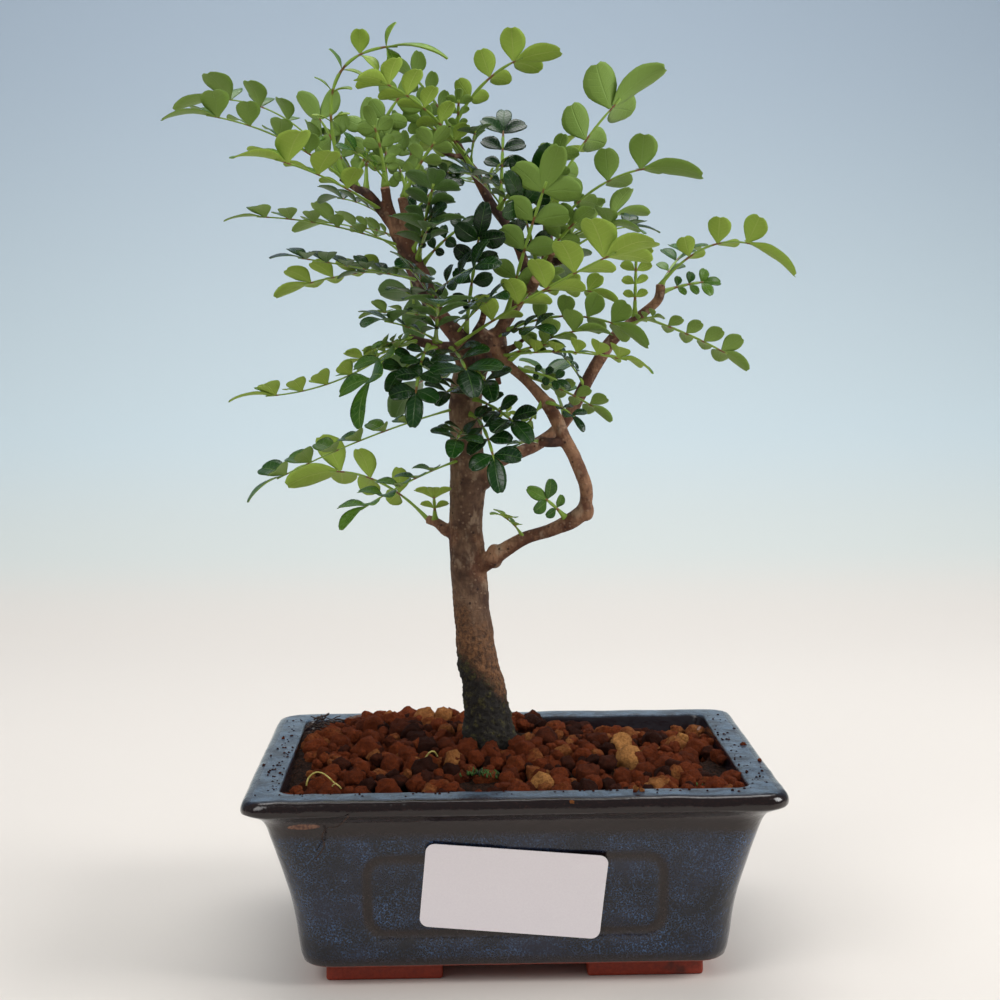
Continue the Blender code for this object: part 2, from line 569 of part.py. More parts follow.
def build_soil(group):
    """One body of soil, its top raised into coarse baked-clay grains, with a plain trunk hole."""
    draw = random.Random(GRAIN_SEED)
    half_x = wall_in(SOIL_TOP - GRAIN_RISE) - SOIL_GAP
    half_y = half_x - DEPTH_LESS
    across = grain_steps(GRAINS_LONG, half_x)
    deep = grain_steps(GRAINS_DEEP, half_y)
    bm = bmesh.new()
    grid = []
    grains = {}
    for j, row in enumerate(deep):
        for i, column in enumerate(across):
            x, y = column, row
            edge = i in (0, len(across) - 1) or j in (0, len(deep) - 1)
            height = soil_height(x, y) - GRAIN_RISE
            if i % 3 and j % 3:
                look = [draw.uniform(-1, 1) for _ in range(3)]
                rise, aside, back = grains.setdefault((i // 3, j // 3), look)
                height += GRAIN_RISE * (1.0 + GRAIN_UNEVEN * rise) * draw.uniform(*GRAIN_TILT)
                x += GRAIN_SHIFT * aside
                y += GRAIN_SHIFT * back
            if not edge:
                x += draw.uniform(-GRAIN_JITTER, GRAIN_JITTER)
                y += draw.uniform(-GRAIN_JITTER, GRAIN_JITTER)
            grid.append(bm.verts.new((x, y, height)))
    wide = len(across)
    for sign_x, sign_y, k in ((-1, -1, 0), (1, -1, wide - 1),
                              (-1, 1, len(grid) - wide), (1, 1, len(grid) - 1)):
        grid[k].co.x -= sign_x * SOIL_CORNER
        grid[k].co.y -= sign_y * SOIL_CORNER
    for j in range(len(deep) - 1):
        for i in range(wide - 1):
            k = j * wide + i
            split_cell(bm, grid[k], grid[k + 1], grid[k + wide + 1], grid[k + wide])
    rim = [edge for edge in bm.edges if edge.is_boundary]
    skirt = bmesh.ops.extrude_edge_only(bm, edges=rim)["geom"]
    shrink_x = (wall_in(FLOOR_TOP) - SOIL_DRAW_IN) / half_x
    shrink_y = (wall_in(FLOOR_TOP) - SOIL_DRAW_IN - DEPTH_LESS) / half_y
    for vertex in skirt:
        if isinstance(vertex, bmesh.types.BMVert):
            vertex.co = (vertex.co.x * shrink_x, vertex.co.y * shrink_y, FLOOR_TOP + SOIL_FLOOR_GAP)
    bmesh.ops.contextual_create(bm, geom=[edge for edge in bm.edges if edge.is_boundary])
    bmesh.ops.triangulate(bm, faces=bm.faces)
    soil = add_object("soil", mesh_from("soil", bm), group, GRAIN)
    hole = drill("trunk hole", TRUNK_FOOT, PLUG_RADIUS + PLUG_GAP, PLUG_BOTTOM - PLUG_GAP,
                 PLUG_HOLE_TOP, group, PLUG_HOLE_SIDES)
    combine(soil, [hole], "DIFFERENCE", "MANIFOLD")
    return soil


def build_tree(group):
    """All the living wood in one body: trunk, bent branch, leaders, twigs, cut stubs and knots."""
    plug = drill("tree", TRUNK_FOOT, PLUG_RADIUS, PLUG_BOTTOM, PLUG_TOP, group)
    plug.data.materials.append(material("tree", BARK))
    limbs = []
    for name, points in WOOD.items():
        thick = max(point[3] for point in points)
        resolution = TRUNK_ROUNDNESS if thick > THICK_LIMB else 1
        limbs.append(curve_mesh(name, points, group, resolution))
    for number, (kx, ky, kz, radius) in enumerate(KNOTS):
        bm = bmesh.new()
        bmesh.ops.create_icosphere(bm, subdivisions=1, radius=radius)
        bmesh.ops.scale(bm, vec=KNOT_STRETCH, verts=bm.verts)
        turn = Euler((KNOT_TURN[0] * number, KNOT_TURN[1] * number, 0.0))
        bmesh.ops.rotate(bm, matrix=turn.to_matrix(), verts=bm.verts)
        bmesh.ops.translate(bm, vec=(kx, ky, kz), verts=bm.verts)
        limbs.append(add_object(f"knot {number}", mesh_from("knot", bm), group))
    combine(plug, limbs, "UNION", "MANIFOLD")
    shade(plug, BARK_CREASE)
    return plug


def along(points, share):
    """The place at a share of a branch's length."""
    route = [Vector(point[:3]) for point in points]
    left = share * sum((b - a).length for a, b in zip(route, route[1:]))
    for a, b in zip(route, route[1:]):
        span = (b - a).length
        if left <= span:
            return a.lerp(b, left / span)
        left -= span
    return route[-1]


class LeafPath:
    """A leaf's arched stalk from its seat to the tip of its end leaflet."""

    def __init__(self, seat, tip, arch, turn):
        self.seat = seat
        self.tip = tip
        chord = tip - seat
        self.length = chord.length
        ahead = chord.normalized()
        lift = (UP - ahead * UP.dot(ahead)).normalized()
        self.knee = (seat + tip) / 2 + lift * (2 * arch * self.length)
        self.look = Vector((0.0, -turn, 1.0 - abs(turn)))

    def place(self, t):
        return self.seat.lerp(self.knee, t).lerp(self.knee.lerp(self.tip, t), t)

    def frame(self, t):
        """Ahead, sideways and upper-face directions at t."""
        ahead = ((self.knee - self.seat) * (1 - t) + (self.tip - self.knee) * t).normalized()
        side = ahead.cross(self.look).normalized()
        return ahead, side, side.cross(ahead)


def bark_exit(bark, inside, heading):
    """Where a line that starts inside the wood leaves the bark, with a hair's gap."""
    hit = bark.ray_cast(inside, heading, BARK_REACH)
    reach = hit[3] if hit[0] else 0.0
    return inside + heading * (reach + BARK_GAP)


def leaflet(bm, roots, ahead, out, face, length, rows):
    """A blunt leaflet on the stalk's edge, facing face as nearly as it can, its tip turned down."""
    face = (face - out * face.dot(out)).normalized()
    across = face.cross(out)
    if across.dot(ahead) < 0:
        across = -across
    middle = (roots[0].co + roots[1].co) / 2
    for share, half, sag in rows:
        place = middle + out * (share * length) - face * (sag * length)
        edge = across * (half * length)
        row = (bm.verts.new(place - edge), bm.verts.new(place + edge))
        bm.faces.new((roots[0], roots[1], row[1], row[0]))
        roots = row


def leaflet_face(ahead, out, face, level):
    """The way a leaflet's upper face looks: square to the stalk, or nearer to straight up."""
    hinged = ahead.cross(out).normalized()
    if hinged.dot(face) < 0:
        hinged = -hinged
    return hinged.lerp(UP, level)


def leaf_blade(number, row, seat, group):
    """A compound leaf: paired leaflets and an end one, cut to the stalk in one thin arched blade."""
    name, _, _, tip, arch, pairs, fold, turn, level, tone = row
    draw = random.Random(LEAF_SEED + number)
    path = LeafPath(seat, Vector(tip), arch, turn)
    spacing = (1 - STALK_BARE) / (pairs - 1 + PAIR_START + END_AFTER + END_LEAF * LEAF_FILL)
    size = spacing * path.length * LEAF_FILL
    half_root = LEAF_ROOT_HALF * spacing * LEAF_FILL

    bm = bmesh.new()

    def station(t):
        side = path.frame(t)[1] * STALK_HALF
        middle = path.place(t)
        return bm.verts.new(middle - side), bm.verts.new(middle + side)

    strip = [station(0.0)]
    for pair in range(pairs):
        t = STALK_BARE + spacing * (pair + PAIR_START)
        rear = station(t - half_root)
        front = station(t + half_root)
        strip += [rear, front]
        ahead, side, face = path.frame(t)
        grown = size * (FIRST_PAIR + (LAST_PAIR - FIRST_PAIR) * pair / (pairs - 1))
        for k, sign in enumerate((-1, 1)):
            angle = math.radians(LEAF_ANGLE + draw.uniform(-LEAF_ANGLE_SPREAD, LEAF_ANGLE_SPREAD))
            lift = math.radians(fold + draw.uniform(-LEAF_FOLD_SPREAD, LEAF_FOLD_SPREAD))
            out = ahead * math.cos(angle) + side * (sign * math.sin(angle))
            out = (out * math.cos(lift) + face * math.sin(lift)).normalized()
            upper = leaflet_face(ahead, out, face, level)
            length = grown * draw.uniform(*LEAF_SIZE_SPREAD)
            leaflet(bm, (rear[k], front[k]), ahead, out, upper, length, LEAFLET_ROWS)
    end = 1 - END_LEAF * spacing * LEAF_FILL
    last = station(end)
    strip.append(last)
    for (a, b), (c, d) in zip(strip, strip[1:]):
        bm.faces.new((a, b, d, c))
    onward = path.tip - path.place(end)
    _, side, face = path.frame(end)
    out = onward.normalized()
    upper = leaflet_face(side, out, face, level)
    leaflet(bm, last, side, out, upper, onward.length, END_ROWS)
    bmesh.ops.triangulate(bm, faces=bm.faces)

    leaf = add_object(name, mesh_from(name, bm), group, LEAF_TONES[tone])
    thick = leaf.modifiers.new("thickness", "SOLIDIFY")
    thick.thickness = BLADE
    thick.offset = 0.0
    return leaf


def build_spray(rows, bark, group):
    """One leaf on the bark, or several that rise from one bud and are fused to it."""
    row = rows[0][1]
    _, branch, share, tip, arch = row[:5]
    inside = along(WOOD[branch], share)
    heading = LeafPath(inside, Vector(tip), arch, 1.0).frame(0.0)[0]
    seat = bark_exit(bark, inside, heading)
    if len(rows) == 1:
        return leaf_blade(*rows[0], seat, group)
    seat += heading * BUD_RADIUS
    blades = [leaf_blade(number, row, seat, group) for number, row in rows]
    bm = bmesh.new()
    bmesh.ops.create_icosphere(bm, subdivisions=1, radius=BUD_RADIUS)
    bmesh.ops.translate(bm, vec=seat, verts=bm.verts)
    bud = add_object("bud", mesh_from("bud", bm), group)
    combine(blades[0], blades[1:] + [bud], "UNION", "MANIFOLD")
    return blades[0]


def main():
    clear_scene()
    group = collection("chinese pepper bonsai")
    pieces = [build_pot(group), build_label(group), build_soil(group)]
    tree = build_tree(group)
    pieces.append(tree)
    bark = BVHTree.FromObject(tree, bpy.context.evaluated_depsgraph_get())
    sprays = {}
    for number, row in enumerate(LEAVES):
        sprays.setdefault(row[0], []).append((number, row))
    for rows in sprays.values():
        pieces.append(build_spray(rows, bark, group))
    stand = bpy.data.objects.new("stand", None)
    stand.location.x = POT_OFFSET
    group.objects.link(stand)
    for piece in pieces:
        piece.parent = stand


main()
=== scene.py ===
# %% [markdown]
# # A chinese pepper bonsai in a glazed pot
# This lesson dresses a small potted tree that already exists as plain solids. The solids give every
# place and size; the cells below build the pieces again with the detail that the eye expects:
# glaze that breaks brown over the edges, crumbly clay grains, bark, moss and glossy leaflets.
# The first lines open the frame of solids.

# %% Open the frame of solids
import math
import random

import bmesh
import bpy
import numpy as np
from mathutils import Matrix, Vector, noise
from mathutils.bvhtree import BVHTree
from mathutils.kdtree import KDTree


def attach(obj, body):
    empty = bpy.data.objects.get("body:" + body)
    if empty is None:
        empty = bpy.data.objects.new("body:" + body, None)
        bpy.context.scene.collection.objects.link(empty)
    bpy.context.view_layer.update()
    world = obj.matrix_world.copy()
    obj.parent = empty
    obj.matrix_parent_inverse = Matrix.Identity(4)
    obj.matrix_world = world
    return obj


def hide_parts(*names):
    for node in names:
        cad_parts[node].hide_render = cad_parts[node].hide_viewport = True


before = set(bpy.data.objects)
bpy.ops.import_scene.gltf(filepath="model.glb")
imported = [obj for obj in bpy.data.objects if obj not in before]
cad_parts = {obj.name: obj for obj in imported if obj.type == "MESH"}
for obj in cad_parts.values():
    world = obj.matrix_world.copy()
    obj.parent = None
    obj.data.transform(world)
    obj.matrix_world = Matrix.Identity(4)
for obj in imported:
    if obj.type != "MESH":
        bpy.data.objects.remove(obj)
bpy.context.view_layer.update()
MM = 0.001
print("solids:", len(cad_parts))

# %% [markdown]
# ## The camera
# The tree is seen from a little above the pot's rim with a long lens, so the pot's side walls
# hardly converge. A camera's turn is easiest to build from three plain turns: up from looking
# straight down, then round to the side, then a small tilt.

# %% The camera
POT_OFFSET = 4.8 * MM
CAMERA_PLACE = (-14.85 * MM + POT_OFFSET, -521.84 * MM, 179.65 * MM)
CAMERA_SIDE, CAMERA_DOWN, CAMERA_TILT = 0.0242, 0.0895, 0.0091
LENS = 63.43

lens = bpy.data.cameras.new("camera")
lens.lens = LENS
lens.sensor_width = 36.0
lens.clip_start = 0.01
camera = bpy.data.objects.new("camera", lens)
camera.location = CAMERA_PLACE
camera.rotation_euler = (
    Matrix.Rotation(-CAMERA_SIDE, 3, "Z")
    @ Matrix.Rotation(math.radians(90) - CAMERA_DOWN, 3, "X")
    @ Matrix.Rotation(-CAMERA_TILT, 3, "Z")
).to_euler()
bpy.context.scene.collection.objects.link(camera)
bpy.context.scene.camera = camera
bpy.context.scene.view_settings.view_transform = "Standard"
print("camera at", [round(v, 4) for v in camera.location])

# %% [markdown]
# ## Helpers for finishes
# A finish is a Principled shader with a few textures wired into it. The class below keeps the
# wiring readable: each method adds one node and hands back its output, so a finish reads like a
# recipe. Textures take their place from the object's own coordinates, so a pattern has the same
# real size on every piece and stays put when the piece is seen from elsewhere.


# %% Helpers for finishes
def paint(red, green, blue):
    """A colour picked as 0 to 255 values, turned into the linear values of a shader."""
    linear = []
    for value in (red, green, blue):
        share = value / 255
        linear.append(share / 12.92 if share <= 0.04045 else ((share + 0.055) / 1.055) ** 2.4)
    return (*linear, 1.0)


class Finish:
    """A material under construction; every method adds a node and returns its output."""

    def __init__(self, name, roughness=0.5, **values):
        self.material = bpy.data.materials.new(name)
        self.material.use_nodes = True
        self.tree = self.material.node_tree
        self.shader = self.tree.nodes["Principled BSDF"]
        self.set("Roughness", roughness)
        for socket, value in values.items():
            self.set(socket.replace("_", " ").title().replace("Ior", "IOR"), value)
        self.place = self.node("TexCoord").outputs["Object"]

    def set(self, socket, value):
        self.feed(self.shader.inputs[socket], value)

    def feed(self, socket, value):
        if isinstance(value, bpy.types.NodeSocket):
            self.tree.links.new(value, socket)
        else:
            socket.default_value = value

    def node(self, kind, inputs=None, **settings):
        made = self.tree.nodes.new("ShaderNode" + kind)
        for name, value in settings.items():
            setattr(made, name, value)
        for name, value in (inputs or {}).items():
            self.feed(made.inputs[name], value)
        return made

    def stretched(self, x, y, z):
        """The place, squeezed along an axis, so that a pattern runs along another."""
        return self.node("Mapping", {"Vector": self.place, "Scale": (x, y, z)}).outputs["Vector"]

    def blotches(self, size, detail=3.0, rough=0.55, place=None, warp=0.0):
        """Cloudy patches about size metres across, from 0 to 1."""
        inputs = {"Vector": place or self.place, "Scale": 1 / size, "Detail": detail,
                  "Roughness": rough, "Distortion": warp}
        return self.node("TexNoise", inputs).outputs["Fac"]

    def pebbles(self, size):
        """Distance from the middle of scattered cells about size metres across."""
        return self.node("TexVoronoi", {"Vector": self.place, "Scale": 1 / size}).outputs["Distance"]

    def calc(self, operation, first, second=0.0):
        made = self.node("Math", operation=operation)
        self.feed(made.inputs[0], first)
        self.feed(made.inputs[1], second)
        return made.outputs[0]

    def times(self, first, second):
        return self.calc("MULTIPLY", first, second)

    def plus(self, first, second):
        return self.calc("ADD", first, second)

    def less(self, first, second):
        return self.calc("SUBTRACT", first, second)

    def larger(self, first, second):
        return self.calc("MAXIMUM", first, second)

    def between(self, value, low, high):
        """0 below low, 1 above high, soft in between; low above high turns it round."""
        made = self.node("MapRange", {"Value": value, "From Min": low, "From Max": high})
        made.interpolation_type = "SMOOTHSTEP"
        return made.outputs["Result"]

    def mix(self, share, first, second):
        made = self.node("Mix", data_type="RGBA")
        self.feed(made.inputs["Factor"], share)
        self.feed(made.inputs[6], first)
        self.feed(made.inputs[7], second)
        return made.outputs[2]

    def marked(self, name, output="Fac"):
        """A value that the mesh carries on its points."""
        return self.node("Attribute", attribute_name=name).outputs[output]

    def parts(self, name):
        vector = self.marked(name, "Vector")
        return self.node("SeparateXYZ", {"Vector": vector}).outputs

    def bump(self, *heights):
        """Relief from (height, metres) pairs, laid over each other."""
        normal = None
        for height, distance in heights:
            inputs = {"Height": height, "Distance": distance, "Strength": 1.0}
            if normal:
                inputs["Normal"] = normal
            normal = self.node("Bump", inputs).outputs["Normal"]
        self.set("Normal", normal)


# %% [markdown]
# ## Helpers for pieces
# A piece is an object that stands for one of the solids or is added to them. Each one names the
# body that it moves with, gets its finish and hides the solids that it stands for. Values such as
# how mossy a point is are stored on the mesh, where a finish can read them. Pot, label, branches
# and stalks are all stacks of rings, so the faces between rings have a helper too.


# %% Helpers for pieces
def make_piece(name, points, faces, finish, stands_for=(), marks=None):
    mesh = bpy.data.meshes.new(name)
    mesh.from_pydata([tuple(point) for point in points], [], [tuple(face) for face in faces])
    mesh.materials.append(finish.material)
    return dress(name, mesh, stands_for, marks)


def dress(name, mesh, stands_for=(), marks=None):
    """Marks a mesh's points, puts it in the scene and says what it stands for."""
    for mark, values in (marks or {}).items():
        values = np.asarray(values, np.float32)
        kind, field = ("FLOAT_VECTOR", "vector") if values.ndim == 2 else ("FLOAT", "value")
        mesh.attributes.new(mark, kind, "POINT").data.foreach_set(field, values.ravel())
    mesh.shade_smooth()
    piece = bpy.data.objects.new(name, mesh)
    bpy.context.scene.collection.objects.link(piece)
    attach(piece, "root")
    if stands_for:
        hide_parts(*stands_for)
    return piece


def points_of(mesh):
    flat = np.empty(len(mesh.vertices) * 3, np.float32)
    mesh.vertices.foreach_get("co", flat)
    return flat.reshape(-1, 3)


def smooth_step(value, low, high):
    share = np.clip((np.asarray(value, float) - low) / (high - low), 0.0, 1.0)
    return share * share * (3 - 2 * share)


def ring_walls(rings, count):
    """Faces between stacked rings of count points each."""
    faces = []
    for k in range(rings - 1):
        for n in range(count):
            a, b = k * count + n, k * count + (n + 1) % count
            faces.append((a, b, b + count, a + count))
    return faces


def closed_rings(rings, count):
    """The same with both ends closed."""
    ends = [tuple(reversed(range(count))), tuple(range((rings - 1) * count, rings * count))]
    return ring_walls(rings, count) + ends


class Sheet:
    """Points, faces and marks that are gathered before they become one piece."""

    def __init__(self, *marks):
        self.points = []
        self.faces = []
        self.marks = {mark: [] for mark in marks}

    def add(self, points, faces, **marks):
        start = len(self.points)
        self.points.extend(points)
        self.faces.extend(tuple(start + index for index in face) for face in faces)
        for mark, values in marks.items():
            self.marks[mark].extend(values)

    def piece(self, name, finish, slot, stands_for=()):
        return make_piece(name, self.points, self.faces, finish, stands_for, self.marks)


# %% [markdown]
# ## Floor, backdrop and light
# A white floor runs back and bends up slowly into a backdrop that fades from white to a pale blue
# grey. A wide bend leaves no line where the floor ends, and the colour changes with height alone.

# %% Floor and backdrop
FLOOR_FRONT, FLOOR_BACK = -3.0, 0.5
BEND, BEND_PARTS = 1.3, 24
WALL_TOP = 3.0
FLOOR_HALF = 4.0

profile = [(FLOOR_FRONT, 0.0), (FLOOR_BACK, 0.0)]
for step in range(1, BEND_PARTS + 1):
    angle = math.radians(90 * step / BEND_PARTS)
    profile.append((FLOOR_BACK + BEND * math.sin(angle), BEND * (1 - math.cos(angle))))
profile.append((FLOOR_BACK + BEND, WALL_TOP))
sweep_mesh = bpy.data.meshes.new("floor")
sweep_mesh.from_pydata(
    [(side * FLOOR_HALF, y, z) for y, z in profile for side in (-1, 1)], [],
    [(2 * i, 2 * i + 1, 2 * i + 3, 2 * i + 2) for i in range(len(profile) - 1)])
sweep_mesh.shade_smooth()
floor = bpy.data.objects.new("floor", sweep_mesh)
bpy.context.scene.collection.objects.link(floor)

studio = Finish("studio floor", roughness=0.75)
height = studio.node("SeparateXYZ", {"Vector": studio.place}).outputs["Z"]
near_floor = studio.mix(studio.between(height, 0.0, 0.03), paint(217, 210, 202), paint(208, 212, 207))
low_sky = studio.mix(studio.between(height, 0.01, 0.11), near_floor, paint(202, 216, 220))
studio.set("Base Color", studio.mix(studio.between(height, 0.02, 0.62), low_sky, paint(186, 202, 217)))
sweep_mesh.materials.append(studio.material)
print("floor points:", len(sweep_mesh.vertices))

# %% [markdown]
# Large soft lights from both sides of the camera and from above give broad reflections on the glaze
# and on the glossy leaves, and only a faint shadow. Each is a square panel with a place, a size and a
# power, turned towards the tree, and one more lights the backdrop alone. A weak even sky fills the
# shadows.

# %% Lights
# Place, size and power
LIGHTS = {
    "left softbox": ((-0.70, -0.75, 0.85), 0.70, 6.8),
    "right softbox": ((0.90, -0.30, 0.62), 0.50, 8.0),
    "top softbox": ((0.05, 0.25, 1.10), 0.90, 6.5),
    "backdrop light": ((0.0, 0.45, 1.3), 1.0, 7.0),
}
TREE_MIDDLE = Vector((0.0, 0.0, 0.13))
BACKDROP_MIDDLE = Vector((0.0, 1.5, 0.3))
for name, (place, size, power) in LIGHTS.items():
    lamp = bpy.data.lights.new(name, "AREA")
    lamp.size = size
    lamp.energy = power
    stand = bpy.data.objects.new(name, lamp)
    stand.location = place
    aim = BACKDROP_MIDDLE if name.startswith("backdrop") else TREE_MIDDLE
    stand.rotation_euler = (aim - Vector(place)).to_track_quat("-Z", "Y").to_euler()
    bpy.context.scene.collection.objects.link(stand)
sky = bpy.data.worlds.new("sky")
sky.use_nodes = True
sky.node_tree.nodes["Background"].inputs["Color"].default_value = paint(226, 232, 240)
sky.node_tree.nodes["Background"].inputs["Strength"].default_value = 0.30
bpy.context.scene.world = sky
print("lights:", ", ".join(LIGHTS))

# %% [markdown]
# ## The pot's shape
# The pot was pressed in a mould: a rounded rectangle at every height, leaning out towards a rolled
# rim, with a shallow groove that frames a panel on each long side. A modeller could bevel a box, but
# a stack of rounded rectangles keeps every height under control, and extra rings between the
# given ones make the soft, thick edges that glaze gives.

# %% The pot's outline and section
POT_HEIGHT = 57.2 * MM
RIM_HALF = 75 * MM
DEPTH_LESS = 17 * MM
FOOT_HEIGHT = 5 * MM
FLOOR_TOP = 10.5 * MM
WALL = 5.6 * MM
LONG_PARTS, SHORT_PARTS, CORNER_PARTS = 112, 76, 9


def wall_out(z):
    """Half length of the pot's outside at height z."""
    return 0.0600 + 0.040 * z + 3.3 * z * z


def wall_in(z):
    return wall_out(z) - WALL


def rounded_outline(half_x, half_y, corner, counts=(LONG_PARTS, SHORT_PARTS, CORNER_PARTS)):
    """Points round a rounded rectangle, anticlockwise from its lower left."""
    long_parts, short_parts, corner_parts = counts
    x, y = half_x - corner, half_y - corner
    outline = []
    sides = [((-x, -half_y), (x, -half_y), long_parts), ((half_x, -y), (half_x, y), short_parts),
             ((x, half_y), (-x, half_y), long_parts), ((-half_x, y), (-half_x, -y), short_parts)]
    middles = [(x, -y), (x, y), (-x, y), (-x, -y)]
    for quarter, (start, end, parts) in enumerate(sides):
        for step in range(parts):
            share = step / parts
            outline.append((start[0] + (end[0] - start[0]) * share,
                            start[1] + (end[1] - start[1]) * share))
        for step in range(corner_parts):
            angle = math.radians(90 * (quarter - 1 + step / corner_parts))
            outline.append((middles[quarter][0] + corner * math.cos(angle),
                            middles[quarter][1] + corner * math.sin(angle)))
    return outline


# Each ring: half length, height, corner radius, and how many parts lead on to the next
POT_RINGS = [
    (wall_out(0.005) - 0.0042, FOOT_HEIGHT, 0.0060, 3),
    (wall_out(0.0058) - 0.0016, FOOT_HEIGHT + 0.0008, 0.0075, 3),
    (wall_out(0.0085), 0.0085, 0.0085, 11),
    (wall_out(0.0240), 0.0240, 0.0090, 13),
    (wall_out(0.0420), 0.0420, 0.0090, 5),
    (wall_out(0.0490), 0.0490, 0.0090, 4),
    (RIM_HALF - 0.0022, 0.0518, 0.0080, 3),
    (RIM_HALF - 0.0003, 0.0530, 0.0075, 3),
    (RIM_HALF, 0.0548, 0.0070, 3),
    (RIM_HALF - 0.0008, POT_HEIGHT - 0.0006, 0.0068, 3),
    (RIM_HALF - 0.0026, POT_HEIGHT, 0.0062, 5),
    (wall_in(POT_HEIGHT) - 0.0012, POT_HEIGHT, 0.0050, 3),
    (wall_in(POT_HEIGHT) - 0.0024, POT_HEIGHT - 0.0008, 0.0045, 3),
    (wall_in(0.0520) - 0.0012, 0.0520, 0.0045, 5),
    (wall_in(0.0320), 0.0320, 0.0045, 5),
    (wall_in(FLOOR_TOP), FLOOR_TOP, 0.0045, 1),
]


def curve_through(a, b, c, d, t):
    """A smooth path from b to c that leaves a and d as its neighbours."""
    return 0.5 * (2 * b + (c - a) * t + (2 * a - 5 * b + 4 * c - d) * t * t
                  + (3 * b - a - 3 * c + d) * t ** 3)


def smooth_through(values, parts):
    """More values on a smooth path: each of the given ones is followed by its number of parts."""
    fine = []
    for k, count in enumerate(parts):
        before, after = values[max(k - 1, 0)], values[min(k + 2, len(values) - 1)]
        for step in range(count):
            fine.append(curve_through(before, values[k], values[k + 1], after, step / count))
    return fine + [values[-1]]


given_rings = np.array([ring[:3] for ring in POT_RINGS])
pot_rings = smooth_through(given_rings, [ring[3] for ring in POT_RINGS[:-1]])
print("pot rings:", len(pot_rings))

# %% [markdown]
# The panel's groove is pressed into the wall: the nearer a point is to the panel's outline, the
# deeper it is pushed in. A little slow noise makes the walls hand-made rather than ruled.

# %% Build the pot
PANEL_HALF, PANEL_LOW, PANEL_HIGH, PANEL_CORNER = 41 * MM, 16 * MM, 38.5 * MM, 5 * MM
GROOVE_WIDE, GROOVE_DEEP = 2.4 * MM, 0.9 * MM
HOLE_RADIUS, HOLE_SPREAD = 5 * MM, 30 * MM
# The rings below the rim's underside are the wall, which alone is pressed
WALL_RINGS = 35
# How the hand-made surface wanders: size of the waves and how far they go
WAVES = ((22 * MM, 0.35 * MM), (7 * MM, 0.10 * MM))
RIM_WAVE, RIM_WAVE_FROM, SHRINK = (15 * MM, 0.5 * MM), POT_HEIGHT - 4 * MM, 0.20 * MM


def from_panel(x, z):
    """Distance of a point of the wall from the panel's rounded outline."""
    ax = np.abs(x) - (PANEL_HALF - PANEL_CORNER)
    az = np.abs(z - (PANEL_LOW + PANEL_HIGH) / 2) - ((PANEL_HIGH - PANEL_LOW) / 2 - PANEL_CORNER)
    outside = np.hypot(np.maximum(ax, 0), np.maximum(az, 0)) + np.minimum(np.maximum(ax, az), 0)
    return np.abs(outside - PANEL_CORNER)


def waver(point, size, depth):
    """A slow, even wander of a surface, the same on every run."""
    return noise.noise(Vector(point) / size) * depth


def build_pot():
    points = []
    for half, z, corner in pot_rings:
        points += [(x, y, z) for x, y in rounded_outline(half, half - DEPTH_LESS, corner)]
    count = len(points) // len(pot_rings)
    points = np.array(points)
    wall_ring = (np.arange(len(points)) // count) < WALL_RINGS
    long_side = np.abs(points[:, 1]) > wall_out(points[:, 2]) - DEPTH_LESS - 0.5 * MM
    pressed = GROOVE_DEEP * (1 - smooth_step(from_panel(points[:, 0], points[:, 2]), 0, GROOVE_WIDE))
    points[:, 1] -= np.sign(points[:, 1]) * np.where(wall_ring & long_side, pressed, 0.0)
    for point in points:
        slow = sum(waver(point, *wave) for wave in WAVES)
        away = math.hypot(point[0], point[1])
        point[:2] *= 1 - (SHRINK + abs(slow)) / away if point[2] > FOOT_HEIGHT else 1.0
        if point[2] > RIM_WAVE_FROM:
            point[2] -= abs(waver(point, *RIM_WAVE))
    points[:, 0] += POT_OFFSET
    mesh = bpy.data.meshes.new("pot")
    mesh.from_pydata(points.tolist(), [], closed_rings(len(pot_rings), count))
    return mesh


def drill_holes(mesh):
    """Cuts the two drain holes through the floor."""
    pot = bpy.data.objects.new("drilled pot", mesh)
    bpy.context.scene.collection.objects.link(pot)
    bars = []
    for side in (-1, 1):
        bm = bmesh.new()
        bmesh.ops.create_cone(bm, cap_ends=True, segments=40, radius1=HOLE_RADIUS,
                              radius2=HOLE_RADIUS, depth=20 * MM)
        bmesh.ops.translate(bm, vec=(POT_OFFSET + side * HOLE_SPREAD, 0, 8 * MM), verts=bm.verts)
        shape = bpy.data.meshes.new("bar")
        bm.to_mesh(shape)
        bar = bpy.data.objects.new("bar", shape)
        bpy.context.scene.collection.objects.link(bar)
        bars.append(bar)
        cut = pot.modifiers.new("hole", "BOOLEAN")
        cut.operation = "DIFFERENCE"
        cut.object = bar
        cut.solver = "EXACT"
    drilled = bpy.data.meshes.new_from_object(pot.evaluated_get(bpy.context.evaluated_depsgraph_get()))
    for helper in [pot, *bars]:
        bpy.data.objects.remove(helper)
    return drilled


pot_mesh = drill_holes(build_pot())
print("pot faces:", len(pot_mesh.polygons))

# %% [markdown]
# ## The glaze
# On the real pot a blue glaze lies over dark clay. It pools to a slate blue with clusters of paler
# blue flecks, and where it runs thin, over the lip, in the groove and at the foot, the clay turns
# it brown to nearly black. The mesh carries how thin the glaze is at each point, and the finish
# mixes the colours with noise, so that no border is ruled.

